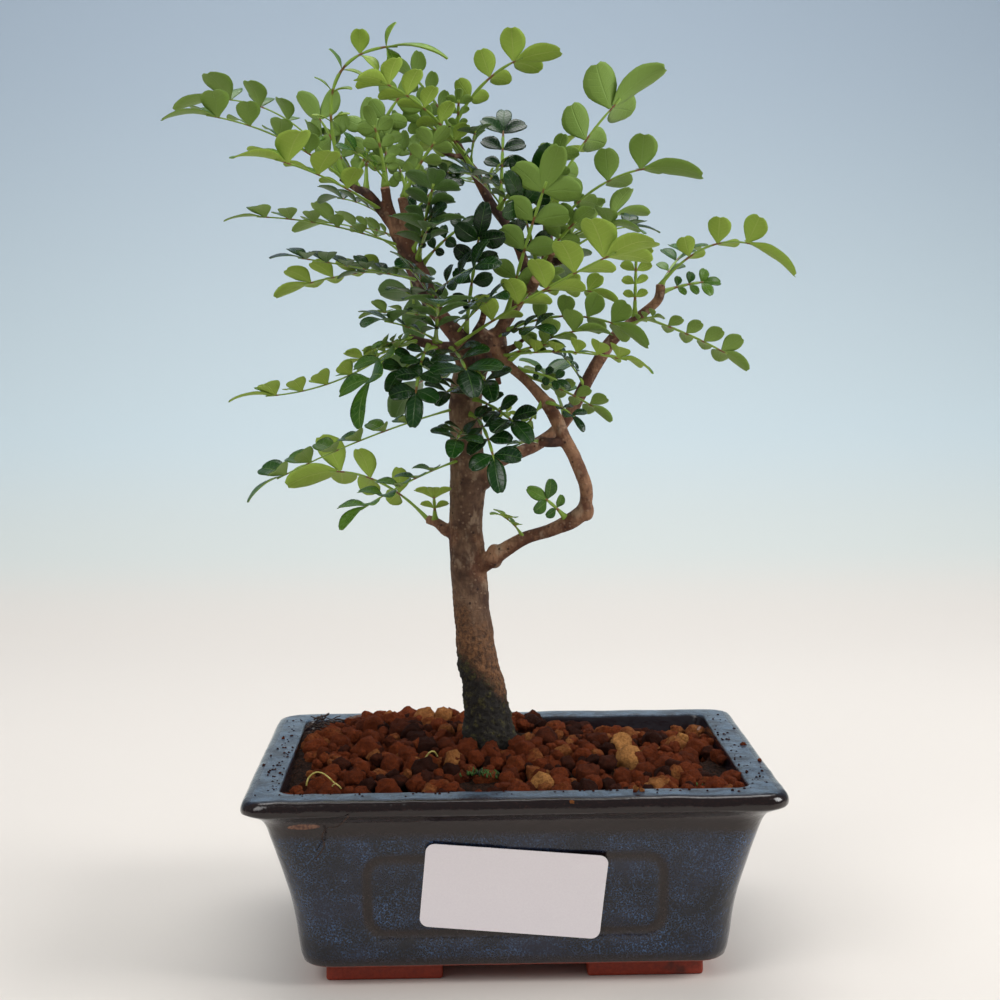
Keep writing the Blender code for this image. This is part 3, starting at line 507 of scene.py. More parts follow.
# %% Where the glaze runs thin
# Each band is a pair of heights or of distances from the middle, between which the mark sets in
LIP_HIGH, LIP_OUT = (49.5 * MM, 51.5 * MM), (RIM_HALF - 4.6 * MM, RIM_HALF - 2.0 * MM)
UNDER_FROM, UNDER_TO, UNDER_OUT = (42.5 * MM, 48.0 * MM), (50.0 * MM, 53.0 * MM), 72.5 * MM
FOOT_BAND, GROOVE_BAND = (7.5 * MM, 10.5 * MM), (0.4 * MM, 2.6 * MM)
TOP_HIGH, TOP_IN = (POT_HEIGHT - 1.6 * MM, POT_HEIGHT - 0.5 * MM), 59.0 * MM
TOP_OUT = (RIM_HALF - 4.2 * MM, RIM_HALF - 1.8 * MM)
BARE_BAND = (FOOT_HEIGHT + 0.6 * MM, FOOT_HEIGHT + 2.0 * MM)


def glaze_marks(mesh):
    place = points_of(mesh)
    x, y, z = place[:, 0] - POT_OFFSET, place[:, 1], place[:, 2]
    out = np.maximum(np.abs(x), np.abs(y) + DEPTH_LESS)
    lip = smooth_step(out, *LIP_OUT) * smooth_step(z, *LIP_HIGH)
    under = smooth_step(z, *UNDER_FROM) * (1 - smooth_step(z, *UNDER_TO)) * (out < UNDER_OUT)
    front = np.abs(y) > wall_out(z) - DEPTH_LESS - 2.5 * MM
    groove = (1 - smooth_step(from_panel(x, z), *GROOVE_BAND)) * front
    foot = 1 - smooth_step(z, *FOOT_BAND)
    top = smooth_step(z, *TOP_HIGH) * (out > TOP_IN)
    top *= 1 - smooth_step(out, *TOP_OUT)
    inner = (out < wall_in(z) + 0.6 * MM) & (z > FLOOR_TOP - 1 * MM) & (z < POT_HEIGHT - 0.6 * MM)
    bare = 1 - smooth_step(z, *BARE_BAND)
    return {"lip": lip, "under": under, "groove": groove, "foot": foot, "top": top,
            "inner": inner.astype(float), "bare": bare}


pot_marks = glaze_marks(pot_mesh)
print("marks on the pot:", ", ".join(pot_marks))

# %% [markdown]
# The finish starts from the blue body with its flecks. Over it come the brown of the thin glaze, the
# paler top of the rim, the dark lip, the bare inside, and the clay that the glaze stops short of. Each
# border is made ragged by the same slow patches.

# %% The glaze
glaze = Finish("blue glaze", roughness=0.2, coat_weight=0.20, coat_roughness=0.12, IOR=1.45)
clouds = glaze.blotches(16 * MM, detail=4)
fine = glaze.blotches(0.5 * MM, detail=3, rough=0.7)
patches = glaze.blotches(9 * MM, detail=5, rough=0.65, warp=0.6)
body = glaze.mix(glaze.between(clouds, 0.38, 0.66), paint(11, 11, 20), paint(27, 30, 45))
fleck_share = glaze.times(glaze.between(fine, 0.46, 0.70), glaze.between(patches, 0.30, 0.72))
body = glaze.mix(fleck_share, body, paint(70, 100, 140))
brown = glaze.mix(glaze.between(fine, 0.40, 0.65), paint(24, 12, 10), paint(42, 30, 28))
ragged = glaze.times(glaze.less(patches, 0.5), 0.9)
thin = glaze.plus(glaze.marked("under"), glaze.marked("groove"))
thin = glaze.plus(thin, glaze.times(glaze.marked("foot"), 0.8))
thin_share = glaze.between(glaze.plus(thin, ragged), 0.15, 0.95)
body = glaze.mix(thin_share, body, brown)
rim_cloud = glaze.blotches(4 * MM, detail=4, rough=0.65)
rim_flecks = glaze.times(glaze.plus(fine, rim_cloud), 0.5)
rim_flecks = glaze.between(rim_flecks, 0.40, 0.62)
rim_blue = glaze.mix(rim_flecks, paint(22, 32, 44), paint(76, 94, 112))
rim_blue = glaze.mix(glaze.between(patches, 0.52, 0.64), rim_blue, paint(26, 27, 34))
body = glaze.mix(glaze.between(glaze.plus(glaze.marked("top"), ragged), 0.35, 0.8), body, rim_blue)
lip_share = glaze.between(glaze.plus(glaze.marked("lip"), glaze.times(ragged, 0.7)), 0.3, 0.8)
lip_dark = glaze.mix(glaze.between(fine, 0.5, 0.75), paint(20, 9, 8), paint(50, 29, 25))
on_edge = glaze.times(lip_share, glaze.less(1.0, glaze.marked("top")))
body = glaze.mix(on_edge, body, lip_dark)
body = glaze.mix(glaze.marked("inner"), body, paint(30, 23, 28))
clay = glaze.mix(glaze.blotches(1.2 * MM, detail=4), paint(104, 30, 14), paint(158, 60, 32))
bare_share = glaze.between(glaze.plus(glaze.marked("bare"), glaze.times(ragged, 0.5)), 0.4, 0.6)
body = glaze.mix(bare_share, body, clay)
specks = glaze.between(glaze.pebbles(6 * MM), 0.075, 0.045)
dirt = glaze.times(specks, glaze.marked("top"))
body = glaze.mix(dirt, body, paint(34, 22, 16))
glaze.set("Base Color", body)
dull = glaze.plus(glaze.times(bare_share, 0.5), glaze.times(glaze.marked("top"), 0.25))
glaze.set("Roughness", glaze.plus(glaze.times(patches, 0.25), dull))
glaze.bump((glaze.blotches(3 * MM, detail=2), 0.25 * MM), (fine, 0.04 * MM), (dirt, 0.3 * MM))

pot_mesh.materials.clear()
pot_mesh.materials.append(glaze.material)
dress("pot", pot_mesh, ["pot"], pot_marks)
pot_mesh.set_sharp_from_angle(angle=math.radians(50))
print("pot dressed, points:", len(pot_mesh.vertices))

# %% [markdown]
# ## The feet
# Four unglazed feet of red clay carry the pot. Each is an L that follows its corner. An outline
# pushed up into a block and given a soft bevel is all that they need.

# %% The feet
FOOT_LONG, FOOT_SHORT, FOOT_WIDE, FOOT_REACH = 33 * MM, 24 * MM, 11 * MM, 53.5 * MM
FOOT_INTO_POT, FOOT_BEVEL = 0.8 * MM, 0.9 * MM

terracotta = Finish("red clay", roughness=0.6)
grit = terracotta.blotches(1.1 * MM, detail=4)
stains = terracotta.blotches(9 * MM, detail=3)
red = terracotta.mix(grit, paint(104, 28, 12), paint(166, 58, 28))
stained = terracotta.mix(terracotta.between(stains, 0.55, 0.75), red, paint(78, 34, 22))
terracotta.set("Base Color", stained)
terracotta.bump((grit, 0.25 * MM), (terracotta.blotches(0.4 * MM), 0.08 * MM))


def build_feet():
    bm = bmesh.new()
    for side_x in (-1, 1):
        for side_y in (-1, 1):
            outer_x, outer_y = FOOT_REACH, FOOT_REACH - DEPTH_LESS
            outline = [(outer_x, outer_y), (outer_x - FOOT_LONG, outer_y),
                       (outer_x - FOOT_LONG, outer_y - FOOT_WIDE),
                       (outer_x - FOOT_WIDE, outer_y - FOOT_WIDE),
                       (outer_x - FOOT_WIDE, outer_y - FOOT_SHORT), (outer_x, outer_y - FOOT_SHORT)]
            low = [bm.verts.new((POT_OFFSET + side_x * x, side_y * y, 0.0)) for x, y in outline]
            face = bm.faces.new(low)
            raised = bmesh.ops.extrude_face_region(bm, geom=[face])["geom"]
            lifted = [item for item in raised if isinstance(item, bmesh.types.BMVert)]
            bmesh.ops.translate(bm, vec=(0, 0, FOOT_HEIGHT + FOOT_INTO_POT), verts=lifted)
    bmesh.ops.recalc_face_normals(bm, faces=bm.faces)
    bmesh.ops.bevel(bm, geom=bm.edges[:], offset=FOOT_BEVEL, segments=3, affect="EDGES", profile=0.5)
    bmesh.ops.triangulate(bm, faces=[face for face in bm.faces if len(face.verts) > 4])
    mesh = bpy.data.meshes.new("pot_feet")
    bm.to_mesh(mesh)
    mesh.materials.append(terracotta.material)
    dress("pot_feet", mesh, ["pot"])


build_feet()
print("feet: 4, height", FOOT_HEIGHT)

# %% [markdown]
# ## The paper label
# A blank label with rounded corners is stuck on the front wall, a little askew. It is built flat as
# a grid, then every point is laid against the wall, so the paper takes the wall's curve.

# %% The label
LABEL_LENGTH, LABEL_HEIGHT, LABEL_CORNER = 50.3 * MM, 25.3 * MM, 2.5 * MM
LABEL_MIDDLE = (-0.6 * MM, 28.7 * MM)
LABEL_TURN = math.radians(5.5)
LABEL_THICK = 0.25 * MM
LABEL_GAP = 0.35 * MM

paper = Finish("label paper", roughness=0.42)
fibres = paper.blotches(0.5 * MM, detail=4)
paper.set("Base Color", paper.mix(fibres, paint(226, 218, 222), paint(236, 230, 232)))
paper.bump((fibres, 0.02 * MM), (paper.blotches(12 * MM), 0.15 * MM))


def build_label():
    outline = np.array(rounded_outline(LABEL_LENGTH / 2, LABEL_HEIGHT / 2, LABEL_CORNER, (36, 18, 8)))
    rings = [outline * share for share in (1.0, 0.97, 0.85, 0.7, 0.55, 0.4, 0.25, 0.1)]
    turn = np.array([[math.cos(LABEL_TURN), -math.sin(LABEL_TURN)],
                     [math.sin(LABEL_TURN), math.cos(LABEL_TURN)]])
    flat = np.concatenate(rings) @ turn
    count, half = len(outline), len(flat)
    faces = ring_walls(len(rings), count) + [tuple(range(half - count, half))]
    points = []
    for depth in (LABEL_GAP + LABEL_THICK, LABEL_GAP):
        for x, z in flat:
            x, z = x + LABEL_MIDDLE[0], z + LABEL_MIDDLE[1]
            points.append((x + POT_OFFSET, -(wall_out(z) - DEPTH_LESS + depth), z))
    back = [tuple(half + index for index in reversed(face)) for face in faces]
    edge = [(half + i, half + (i + 1) % count, (i + 1) % count, i) for i in range(count)]
    return make_piece("label", points, faces + back + edge, paper, ["label"])


label = build_label()
label.data.set_sharp_from_angle(angle=math.radians(40))
print("label size:", LABEL_LENGTH, LABEL_HEIGHT)

# %% [markdown]
# ## The soil
# Akadama-like baked clay grains, 4 to 8 mm across, are heaped over dark peat. Scattering plain
# spheres would look like beads, so each grain starts as a ball, is sliced by a few random planes for
# flat facets, and is roughened with noise. The peat below is one uneven bed.

# %% The peat bed
SOIL_TOP = 54.5 * MM
HEAP_MIDDLE = (-22 * MM, 20 * MM)
HEAP_RISE, HEAP_LENGTH, HEAP_DEPTH = 4.5 * MM, 75 * MM, 55 * MM
# The soil is sunk in the far right corner: x and y where it begins and where it is deepest
SUNK_FROM, SUNK_CORNER, SUNK_DEPTH = (-0.002, 0.016), (0.034, 0.040), 3.0 * MM
SOIL_HALF = wall_in(SOIL_TOP) - 0.6 * MM
BED_BELOW, BED_FOOT_IN, BED_FOOT_UP = 3.0 * MM, 3.2 * MM, 0.4 * MM
LUMP_SIZE, LUMP_RISE = 5 * MM, 1.1 * MM
# Places where peat shows through: middle, half length, half depth, how far it is raised in mm
BARE_SPOTS = [
    (-0.009, -0.032, 0.010, 0.011, 2.2), (-0.039, -0.041, 0.017, 0.005, 1.4),
    (-0.062, -0.010, 0.005, 0.030, 1.4), (-0.062, 0.030, 0.007, 0.015, 1.6),
    (0.059, -0.016, 0.006, 0.026, 1.5), (0.005, 0.020, 0.009, 0.014, 1.2),
    (0.030, 0.043, 0.031, 0.007, 0.7), (-0.057, 0.043, 0.014, 0.010, 0.4),
]

peat = Finish("dark peat", roughness=0.95, IOR=1.25)
crumbs = peat.blotches(0.9 * MM, detail=5, rough=0.7)
peat_colour = peat.mix(peat.between(crumbs, 0.35, 0.7), paint(16, 9, 6), paint(58, 32, 18))
peat.set("Base Color", peat_colour)
peat.bump((crumbs, 0.8 * MM), (peat.pebbles(0.8 * MM), 0.3 * MM))


def soil_height(x, y):
    away = math.hypot((x - HEAP_MIDDLE[0]) / HEAP_LENGTH, (y - HEAP_MIDDLE[1]) / HEAP_DEPTH)
    sunk_x = smooth_step(x, SUNK_FROM[0], SUNK_CORNER[0])
    sunk = float(sunk_x * smooth_step(y, SUNK_FROM[1], SUNK_CORNER[1]))
    return SOIL_TOP + HEAP_RISE * max(0.0, 1.0 - away * away) - SUNK_DEPTH * sunk


def bareness(x, y):
    """How bare of grains a place is, from 0 to 1, and how far the peat rises there."""
    most, rise = 0.0, 0.0
    for sx, sy, long_half, deep_half, lift in BARE_SPOTS:
        away = math.hypot((x - sx) / long_half, (y - sy) / deep_half)
        share = max(0.0, 1.0 - away * away)
        if share > most:
            most, rise = share, share * lift * MM
    return most, rise


def build_bed():
    columns, rows = 150, 112
    points, faces = [], []
    for j in range(rows + 1):
        for i in range(columns + 1):
            x = SOIL_HALF * (2 * i / columns - 1)
            y = (SOIL_HALF - DEPTH_LESS) * (2 * j / rows - 1)
            lump = noise.fractal(Vector((x, y, 0.3)) / LUMP_SIZE, 0.8, 2.0, 4) * LUMP_RISE
            z = soil_height(x, y) - BED_BELOW + bareness(x, y)[1] + lump
            points.append((x + POT_OFFSET, y, z))
    wide = columns + 1
    for j in range(rows):
        for i in range(columns):
            k = j * wide + i
            faces.append((k, k + 1, k + wide + 1, k + wide))
    loop = list(range(wide)) + [j * wide + columns for j in range(1, rows + 1)]
    loop += [rows * wide + i for i in range(columns - 1, -1, -1)]
    loop += [j * wide for j in range(rows - 1, 0, -1)]
    foot_half = wall_in(FLOOR_TOP) - BED_FOOT_IN
    shrink, shrink_y = foot_half / SOIL_HALF, (foot_half - DEPTH_LESS) / (SOIL_HALF - DEPTH_LESS)
    low = len(points)
    for k in loop:
        x, y, _ = points[k]
        points.append(((x - POT_OFFSET) * shrink + POT_OFFSET, y * shrink_y, FLOOR_TOP + BED_FOOT_UP))
    count = len(loop)
    for n in range(count):
        m = (n + 1) % count
        faces.append((loop[m], loop[n], low + n, low + m))
    faces.append(tuple(low + n for n in range(count - 1, -1, -1)))
    make_piece("soil_bed", points, faces, peat, ["soil"])


build_bed()
print("soil bed half size:", round(SOIL_HALF, 4))

# %% [markdown]
# The grains lie in a random but even scatter: each new grain is kept only if it stands clear of its
# neighbours. Most are a red brown, some darker, and a few large ones are tan. Those stand where the
# real ones catch the eye: right of the trunk, at the front, and along the heap's top.

# %% The grains
def unit_ball(subdivisions):
    """Points and faces of a ball with a radius of 1."""
    bm = bmesh.new()
    bmesh.ops.create_icosphere(bm, subdivisions=subdivisions, radius=1.0)
    points = np.array([vertex.co[:] for vertex in bm.verts])
    faces = [tuple(vertex.index for vertex in face.verts) for face in bm.faces]
    bm.free()
    return points, faces


BALL_POINTS, BALL_FACES = unit_ball(3)
TRUNK_FOOT, TRUNK_CLEAR = (-6 * MM, 8 * MM), 8.5 * MM
# A grain's colour lies between 0, the darkest brown, and 1, the palest tan
TAN, PALE, RUST, DARK = 0.95, 0.75, 0.35, 0.05
# Grains that are told apart: place, radius in mm, colour, how far they are raised in mm
SHOWN_GRAINS = [
    (0.034, 0.004, 4.3, TAN, 1.6), (0.0355, -0.008, 4.7, TAN, 1.0), (0.041, -0.001, 2.6, PALE, 0.8),
    (0.0285, -0.012, 2.2, TAN, 0.4), (0.008, -0.035, 4.0, TAN, 1.0), (0.040, -0.039, 4.0, PALE, 0.2),
    (0.052, 0.010, 4.0, PALE, 0.7), (0.054, 0.014, 1.9, TAN, 3.4), (-0.028, -0.016, 2.8, PALE, 0.8),
    (-0.017, -0.015, 3.5, PALE, 0.8), (-0.037, 0.036, 3.7, PALE, 1.4), (-0.026, 0.037, 4.4, PALE, 1.2),
    (-0.020, 0.036, 4.0, PALE, 1.2), (-0.014, 0.034, 3.3, PALE, 1.2), (-0.059, 0.010, 3.3, 0.6, 1.0),
    (-0.054, 0.017, 3.5, 0.6, 1.4), (-0.042, 0.024, 4.2, RUST, 1.6), (-0.033, 0.018, 4.3, 0.2, 1.6),
    (-0.043, -0.002, 4.2, 0.4, 1.2), (0.003, -0.001, 3.3, RUST, 1.0), (-0.006, -0.007, 3.5, RUST, 0.8),
    (0.011, 0.008, 4.4, 0.2, 1.4), (0.027, 0.009, 4.0, 0.2, 1.2), (0.001, -0.042, 4.0, 0.45, 0.6),
    (-0.021, -0.036, 3.8, 0.6, 0.8), (-0.027, -0.031, 3.4, 0.4, 0.8),
]


# Two layers: grains wanted, least and most radius in mm, how far they are raised in mm
GRAIN_LAYERS = ((560, 2.6, 4.2, -1.4), (360, 1.3, 3.9, 0.9))
GRAIN_TRIES, GRAIN_CLOSE, GRAIN_SINK = 14, 0.80, 1.0 * MM
GRAIN_TONES = (0.0, 0.12, 0.25, RUST, RUST, 0.45, 0.5, 0.6, 0.68)
GRAIN_FLATS, GRAIN_ROUGH = 6, 0.21
PIECE_POINTS = 60000


def grain(draw, place, radius):
    """A crumbly clay grain: a stretched ball, cut flat here and there, with a rough skin."""
    points = BALL_POINTS * np.array([draw.uniform(0.85, 1.15) for _ in range(3)])
    for _ in range(GRAIN_FLATS):
        normal = Vector((draw.gauss(0, 1), draw.gauss(0, 1), draw.gauss(0, 1))).normalized()
        depth = draw.uniform(0.55, 0.90)
        beyond = np.maximum(points @ np.array(normal) - depth, 0.0)
        points = points - beyond[:, None] * np.array(normal) * 0.92
    shift = Vector((draw.uniform(0, 90), draw.uniform(0, 90), draw.uniform(0, 90)))
    rough = np.array([noise.fractal(Vector(point) * 2.6 + shift, 0.6, 2.3, 5) for point in points])
    points = points * (1 + GRAIN_ROUGH * rough[:, None])
    turn = Matrix.Rotation(draw.uniform(0, 6.3), 3, "Z") @ Matrix.Rotation(draw.uniform(0, 6.3), 3, "X")
    return points @ np.array(turn).T * radius + np.array(place)


def scatter_grains():
    draw = random.Random(21)
    laid = [(x, y, r * MM, tone, lift * MM) for x, y, r, tone, lift in SHOWN_GRAINS]
    limit_y = SOIL_HALF - DEPTH_LESS
    for layer, (wanted, low, high, lift) in enumerate(GRAIN_LAYERS):
        base = len(laid) if layer else 0
        for _ in range(wanted * GRAIN_TRIES):
            if len(laid) - base >= wanted:
                break
            radius = draw.uniform(low, high) * MM
            x = draw.uniform(-1, 1) * (SOIL_HALF - radius * 0.8)
            y = draw.uniform(-1, 1) * (limit_y - radius * 0.8)
            bare = bareness(x, y)[0]
            if draw.random() < bare * 1.6:
                continue
            if math.hypot(x - TRUNK_FOOT[0], y - TRUNK_FOOT[1]) < TRUNK_CLEAR + radius * 0.6:
                continue
            near = laid[base:] if layer else laid
            if any(math.hypot(x - a, y - b) < (radius + r) * GRAIN_CLOSE for a, b, r, _, _ in near):
                continue
            tone = draw.choice(GRAIN_TONES)
            laid.append((x, y, radius, tone, lift * MM * (0.6 + 0.8 * draw.random())))
    return laid


clay_grain = Finish("baked clay grains", roughness=0.95, IOR=1.25)
tone = clay_grain.marked("tone")
pits = clay_grain.blotches(0.7 * MM, detail=5, rough=0.75)
dusty = clay_grain.blotches(3 * MM, detail=3)
dusty = clay_grain.times(clay_grain.less(dusty, 0.5), 0.35)
shown = clay_grain.plus(tone, dusty)
low_half = clay_grain.mix(clay_grain.between(shown, 0.0, 0.5), paint(44, 16, 6), paint(122, 54, 22))
rust = clay_grain.mix(clay_grain.between(shown, 0.55, 0.95), low_half, paint(198, 138, 78))
grainy = clay_grain.mix(clay_grain.between(pits, 0.64, 0.36), rust, paint(52, 22, 10))
clay_grain.set("Base Color", clay_grain.mix(0.50, rust, grainy))
clay_grain.bump((pits, 1.2 * MM), (clay_grain.blotches(0.3 * MM, detail=3), 0.4 * MM))

laid_grains = scatter_grains()
heap = Sheet("tone")
grain_draw = random.Random(8)
for x, y, radius, grain_tone, lift in laid_grains:
    z = soil_height(x, y) - GRAIN_SINK + lift
    points = grain(grain_draw, (x + POT_OFFSET, y, z), radius)
    heap.add(points, BALL_FACES, tone=[grain_tone] * len(points))
    if len(heap.points) > PIECE_POINTS:
        heap.piece("soil_grains_low", clay_grain, "soil", ["soil"])
        heap = Sheet("tone")
heap.piece("soil_grains", clay_grain, "soil", ["soil"])
print("grains laid:", len(laid_grains), "points each:", len(BALL_POINTS))

# %% [markdown]
# ## Moss, rootlets and crumbs
# Small things make the soil look used: tufts of moss in the damp hollows, pale rootlets that curl out
# between the grains, dark fibres in the far left corner, dry flakes, and crumbs that fell on the rim.
# Moss is a tuft of tiny bent blades, a rootlet or fibre is a thin tube along a few places, and a crumb
# is a small grain.

# %% Tubes and small things
def fine_route(route, spacing=0.9 * MM):
    """Places and radii along a branch, closer together, on a smooth path."""
    values = np.array(route)
    spans = [float(np.linalg.norm(b - a)) for a, b in zip(values[:, :3], values[1:, :3])]
    return smooth_through(values, [max(2, round(span / spacing)) for span in spans])


def tube(sheet, route, sides):
    """A closed tube along a route of (x, y, z, radius)."""
    places = [Vector(point[:3]) for point in route]
    ahead = (places[1] - places[0]).normalized()
    side = ahead.orthogonal().normalized()
    points = []
    for k, place in enumerate(places):
        new_ahead = (places[min(k + 1, len(places) - 1)] - places[max(k - 1, 0)]).normalized()
        side = (side - new_ahead * side.dot(new_ahead)).normalized()
        other = new_ahead.cross(side)
        for n in range(sides):
            angle = 2 * math.pi * n / sides
            out = side * math.cos(angle) + other * math.sin(angle)
            points.append(place + out * route[k][3])
    sheet.add(points, closed_rings(len(places), sides))


def plain_finish(name, first, second, size=0.8 * MM):
    """Two colours in small blotches, for little things that need no more."""
    finish = Finish(name, roughness=0.8)
    cloud = finish.blotches(size)
    finish.set("Base Color", finish.mix(finish.between(cloud, 0.35, 0.65), first, second))
    finish.bump((cloud, 0.15 * MM))
    return finish


green_moss = plain_finish("green moss", paint(14, 28, 6), paint(58, 92, 22), 1.6 * MM)
dark_fibre = plain_finish("dark fibre", paint(22, 13, 9), paint(62, 38, 24))
pale_root = plain_finish("pale rootlet", paint(150, 138, 60), paint(190, 176, 104))
dry_flake = plain_finish("dry flake", paint(70, 44, 34), paint(112, 78, 58))
print("small things have 4 finishes")

# %% [markdown]
# Moss grows where water stays: in front of the trunk and in two spots on the right. Each tuft is a
# handful of short bent tubes that stand on the peat, more of them towards its middle.

# %% Moss in the hollows
# Middle, half length, half depth, blades
MOSS_TUFTS = [((-0.008, -0.025), 0.0045, 0.0030, 90), ((0.042, 0.003), 0.0018, 0.0012, 16),
              ((0.053, -0.038), 0.0028, 0.0016, 26)]


def grow_moss():
    draw = random.Random(31)
    sheet = Sheet()
    for (x, y), long_half, deep_half, blades in MOSS_TUFTS:
        for _ in range(blades):
            root = Vector((x + draw.gauss(0, 0.5) * long_half, y + draw.gauss(0, 0.5) * deep_half, 0))
            root.z = soil_height(root.x, root.y) - 0.4 * MM + bareness(root.x, root.y)[1] * 0.6
            root.x += POT_OFFSET
            lean = Vector((draw.gauss(0, 0.6), draw.gauss(0, 0.6), 1.0)).normalized()
            bend = Vector((draw.gauss(0, 0.5), draw.gauss(0, 0.5), 0.2))
            tall = draw.uniform(0.8, 1.7) * MM
            middle, top = root + lean * tall * 0.6, root + lean * tall + bend * tall * 0.3
            tube(sheet, [(*root, 0.22 * MM), (*middle, 0.26 * MM), (*top, 0.06 * MM)], 5)
    sheet.piece("moss", green_moss, "soil")


grow_moss()
print("moss tufts:", len(MOSS_TUFTS))

# %% [markdown]
# Rootlets and fibres are thin tubes through a few places. The pale rootlets and the root that hangs
# over the rim catch the eye, so each has its own places. The dark fibres lie tangled in a corner: a
# random walk of a few short steps lays each of them, and one that leaves the soil is left out.

# %% Rootlets and fibres
ROOTLETS = [
    [(-0.058, -0.037, 0.0565), (-0.0575, -0.0365, 0.0585), (-0.0555, -0.036, 0.0600),
     (-0.053, -0.036, 0.0595), (-0.050, -0.037, 0.0570)],
    [(-0.051, -0.040, 0.0565), (-0.0495, -0.041, 0.0580), (-0.048, -0.041, 0.0565)],
    [(-0.0255, -0.020, 0.0590), (-0.024, -0.021, 0.0615), (-0.0225, -0.021, 0.0620),
     (-0.0215, -0.019, 0.0600)],
]
HANGING_ROOT = [(-0.045, -0.0588, 0.0535), (-0.048, -0.0575, 0.0505), (-0.051, -0.0555, 0.0495),
                (-0.0525, -0.0545, 0.047), (-0.052, -0.0535, 0.044), (-0.0545, -0.0520, 0.040)]
FIBRE_CORNER, FIBRE_REACH = Vector((-0.060, 0.030, 0.0595)), Vector((0.005, 0.012, 0.0012))
FIBRES, FIBRE_STEPS = 34, 4
FIBRE_SIDE, FIBRE_BACK = 64.0 * MM, 45.5 * MM


def thread(sheet, places, radius):
    tube(sheet, fine_route([(x + POT_OFFSET, y, z, radius) for x, y, z in places]), 7)


roots = Sheet()
for places in ROOTLETS:
    thread(roots, places, 0.24 * MM)
roots.piece("rootlets", pale_root, "soil")
fibres = Sheet()
thread(fibres, HANGING_ROOT, 0.18 * MM)
fibre_draw = random.Random(12)
for _ in range(FIBRES):
    start = FIBRE_CORNER + Vector([fibre_draw.uniform(-1, 1) * reach for reach in FIBRE_REACH])
    swing = fibre_draw.uniform(0, 6.3)
    places = [start]
    for _ in range(FIBRE_STEPS):
        swing += fibre_draw.gauss(0, 0.7)
        step = Vector((math.cos(swing), math.sin(swing), fibre_draw.gauss(0.05, 0.35)))
        places.append(places[-1] + step * fibre_draw.uniform(1.0, 2.0) * MM)
    if all(abs(place.x) < FIBRE_SIDE and place.y < FIBRE_BACK for place in places):
        thread(fibres, places, fibre_draw.uniform(0.12, 0.28) * MM)
fibres.piece("fibres", dark_fibre, "soil")
print("rootlets:", len(ROOTLETS), "fibre points:", len(fibres.points))

# %% [markdown]
# A flake is a ball pressed flat and bent a little. The crumbs on the rim that can be told apart are
# small grains. The rest are rough little balls with few faces, strewn along the sides and the front.

# %% Flakes and crumbs
# Middle, half length, half width, turn in degrees, lean in degrees
FLAKES = [((-0.0570, -0.0588, 0.0508), 4.4, 0.7, 4, 80), ((-0.0480, 0.028, 0.0620), 2.4, 0.5, 30, 20),
          ((0.0600, 0.020, 0.0585), 2.2, 0.5, 70, 15)]
# Crumbs that are told apart, on the rim: place and radius in mm
RIM_CRUMBS = [((0.033, -0.0505, 0.0578), 1.0), ((0.0345, -0.0512, 0.0575), 0.8),
              ((0.0335, -0.0508, 0.0592), 0.8), ((0.0325, -0.0520, 0.0574), 0.6),
              ((0.0710, 0.002, 0.0572), 1.0), ((0.0725, -0.018, 0.0572), 0.7),
              ((0.0150, -0.0570, 0.0560), 0.7), ((-0.0700, 0.020, 0.0572), 0.5)]
LOOSE_CRUMBS = 190
# Where loose crumbs begin and end on the rim: from the side, then from the front
CRUMB_SIDE, CRUMB_SIDE_END = 65.5 * MM, 72.5 * MM
CRUMB_FRONT, CRUMB_FRONT_END = 48.5 * MM, 54.5 * MM
SMALL_POINTS, SMALL_FACES = unit_ball(1)


def flake(sheet, middle, long_half, wide_half, turn, lean):
    shape = Matrix.Rotation(math.radians(turn), 3, "Z") @ Matrix.Rotation(math.radians(lean), 3, "X")
    ball_points = BALL_POINTS * np.array([long_half, wide_half, 0.12]) * MM
    ball_points[:, 2] += 0.25 * MM * np.sin(ball_points[:, 0] / (0.9 * MM))
    place = np.array([middle[0] + POT_OFFSET, middle[1], middle[2]])
    sheet.add(ball_points @ np.array(shape).T + place, BALL_FACES)


flakes = Sheet()
for row in FLAKES:
    flake(flakes, *row)
flakes.piece("flakes", dry_flake, "soil")
crumbs_laid = Sheet("tone")
crumb_draw = random.Random(4)
for (x, y, z), radius in RIM_CRUMBS:
    crumbs_laid.add(grain(crumb_draw, (x + POT_OFFSET, y, z), radius * MM), BALL_FACES,
                    tone=[crumb_draw.choice((RUST, 0.5, PALE))] * len(BALL_POINTS))
for _ in range(LOOSE_CRUMBS):
    side = crumb_draw.choice((-1, -1, 1, 1, 0))
    if side:
        x = side * (CRUMB_SIDE + abs(crumb_draw.gauss(0, 3.2)) * MM)
        y = crumb_draw.uniform(-0.050, 0.050)
    else:
        x = crumb_draw.uniform(-0.066, 0.066)
        y = -CRUMB_FRONT - abs(crumb_draw.gauss(0, 2.2)) * MM
    if abs(x) > CRUMB_SIDE_END or y < -CRUMB_FRONT_END:
        continue
    size = crumb_draw.uniform(0.18, 0.5) * MM
    lumpy = SMALL_POINTS * np.array([crumb_draw.uniform(0.7, 1.3) for _ in range(3)]) * size
    crumbs_laid.add(lumpy + np.array([x + POT_OFFSET, y, POT_HEIGHT - 0.15 * MM]), SMALL_FACES,
                    tone=[crumb_draw.choice((0.0, DARK, 0.15))] * len(SMALL_POINTS))
crumbs_laid.piece("crumbs", clay_grain, "soil")
print("crumb points:", len(crumbs_laid.points))

# %% [markdown]
# ## The wood
# The tree is swept as smooth tubes along the same places and thicknesses as the solid wood. A few
# thin dead twigs and cut ends are added, which the solids leave out.

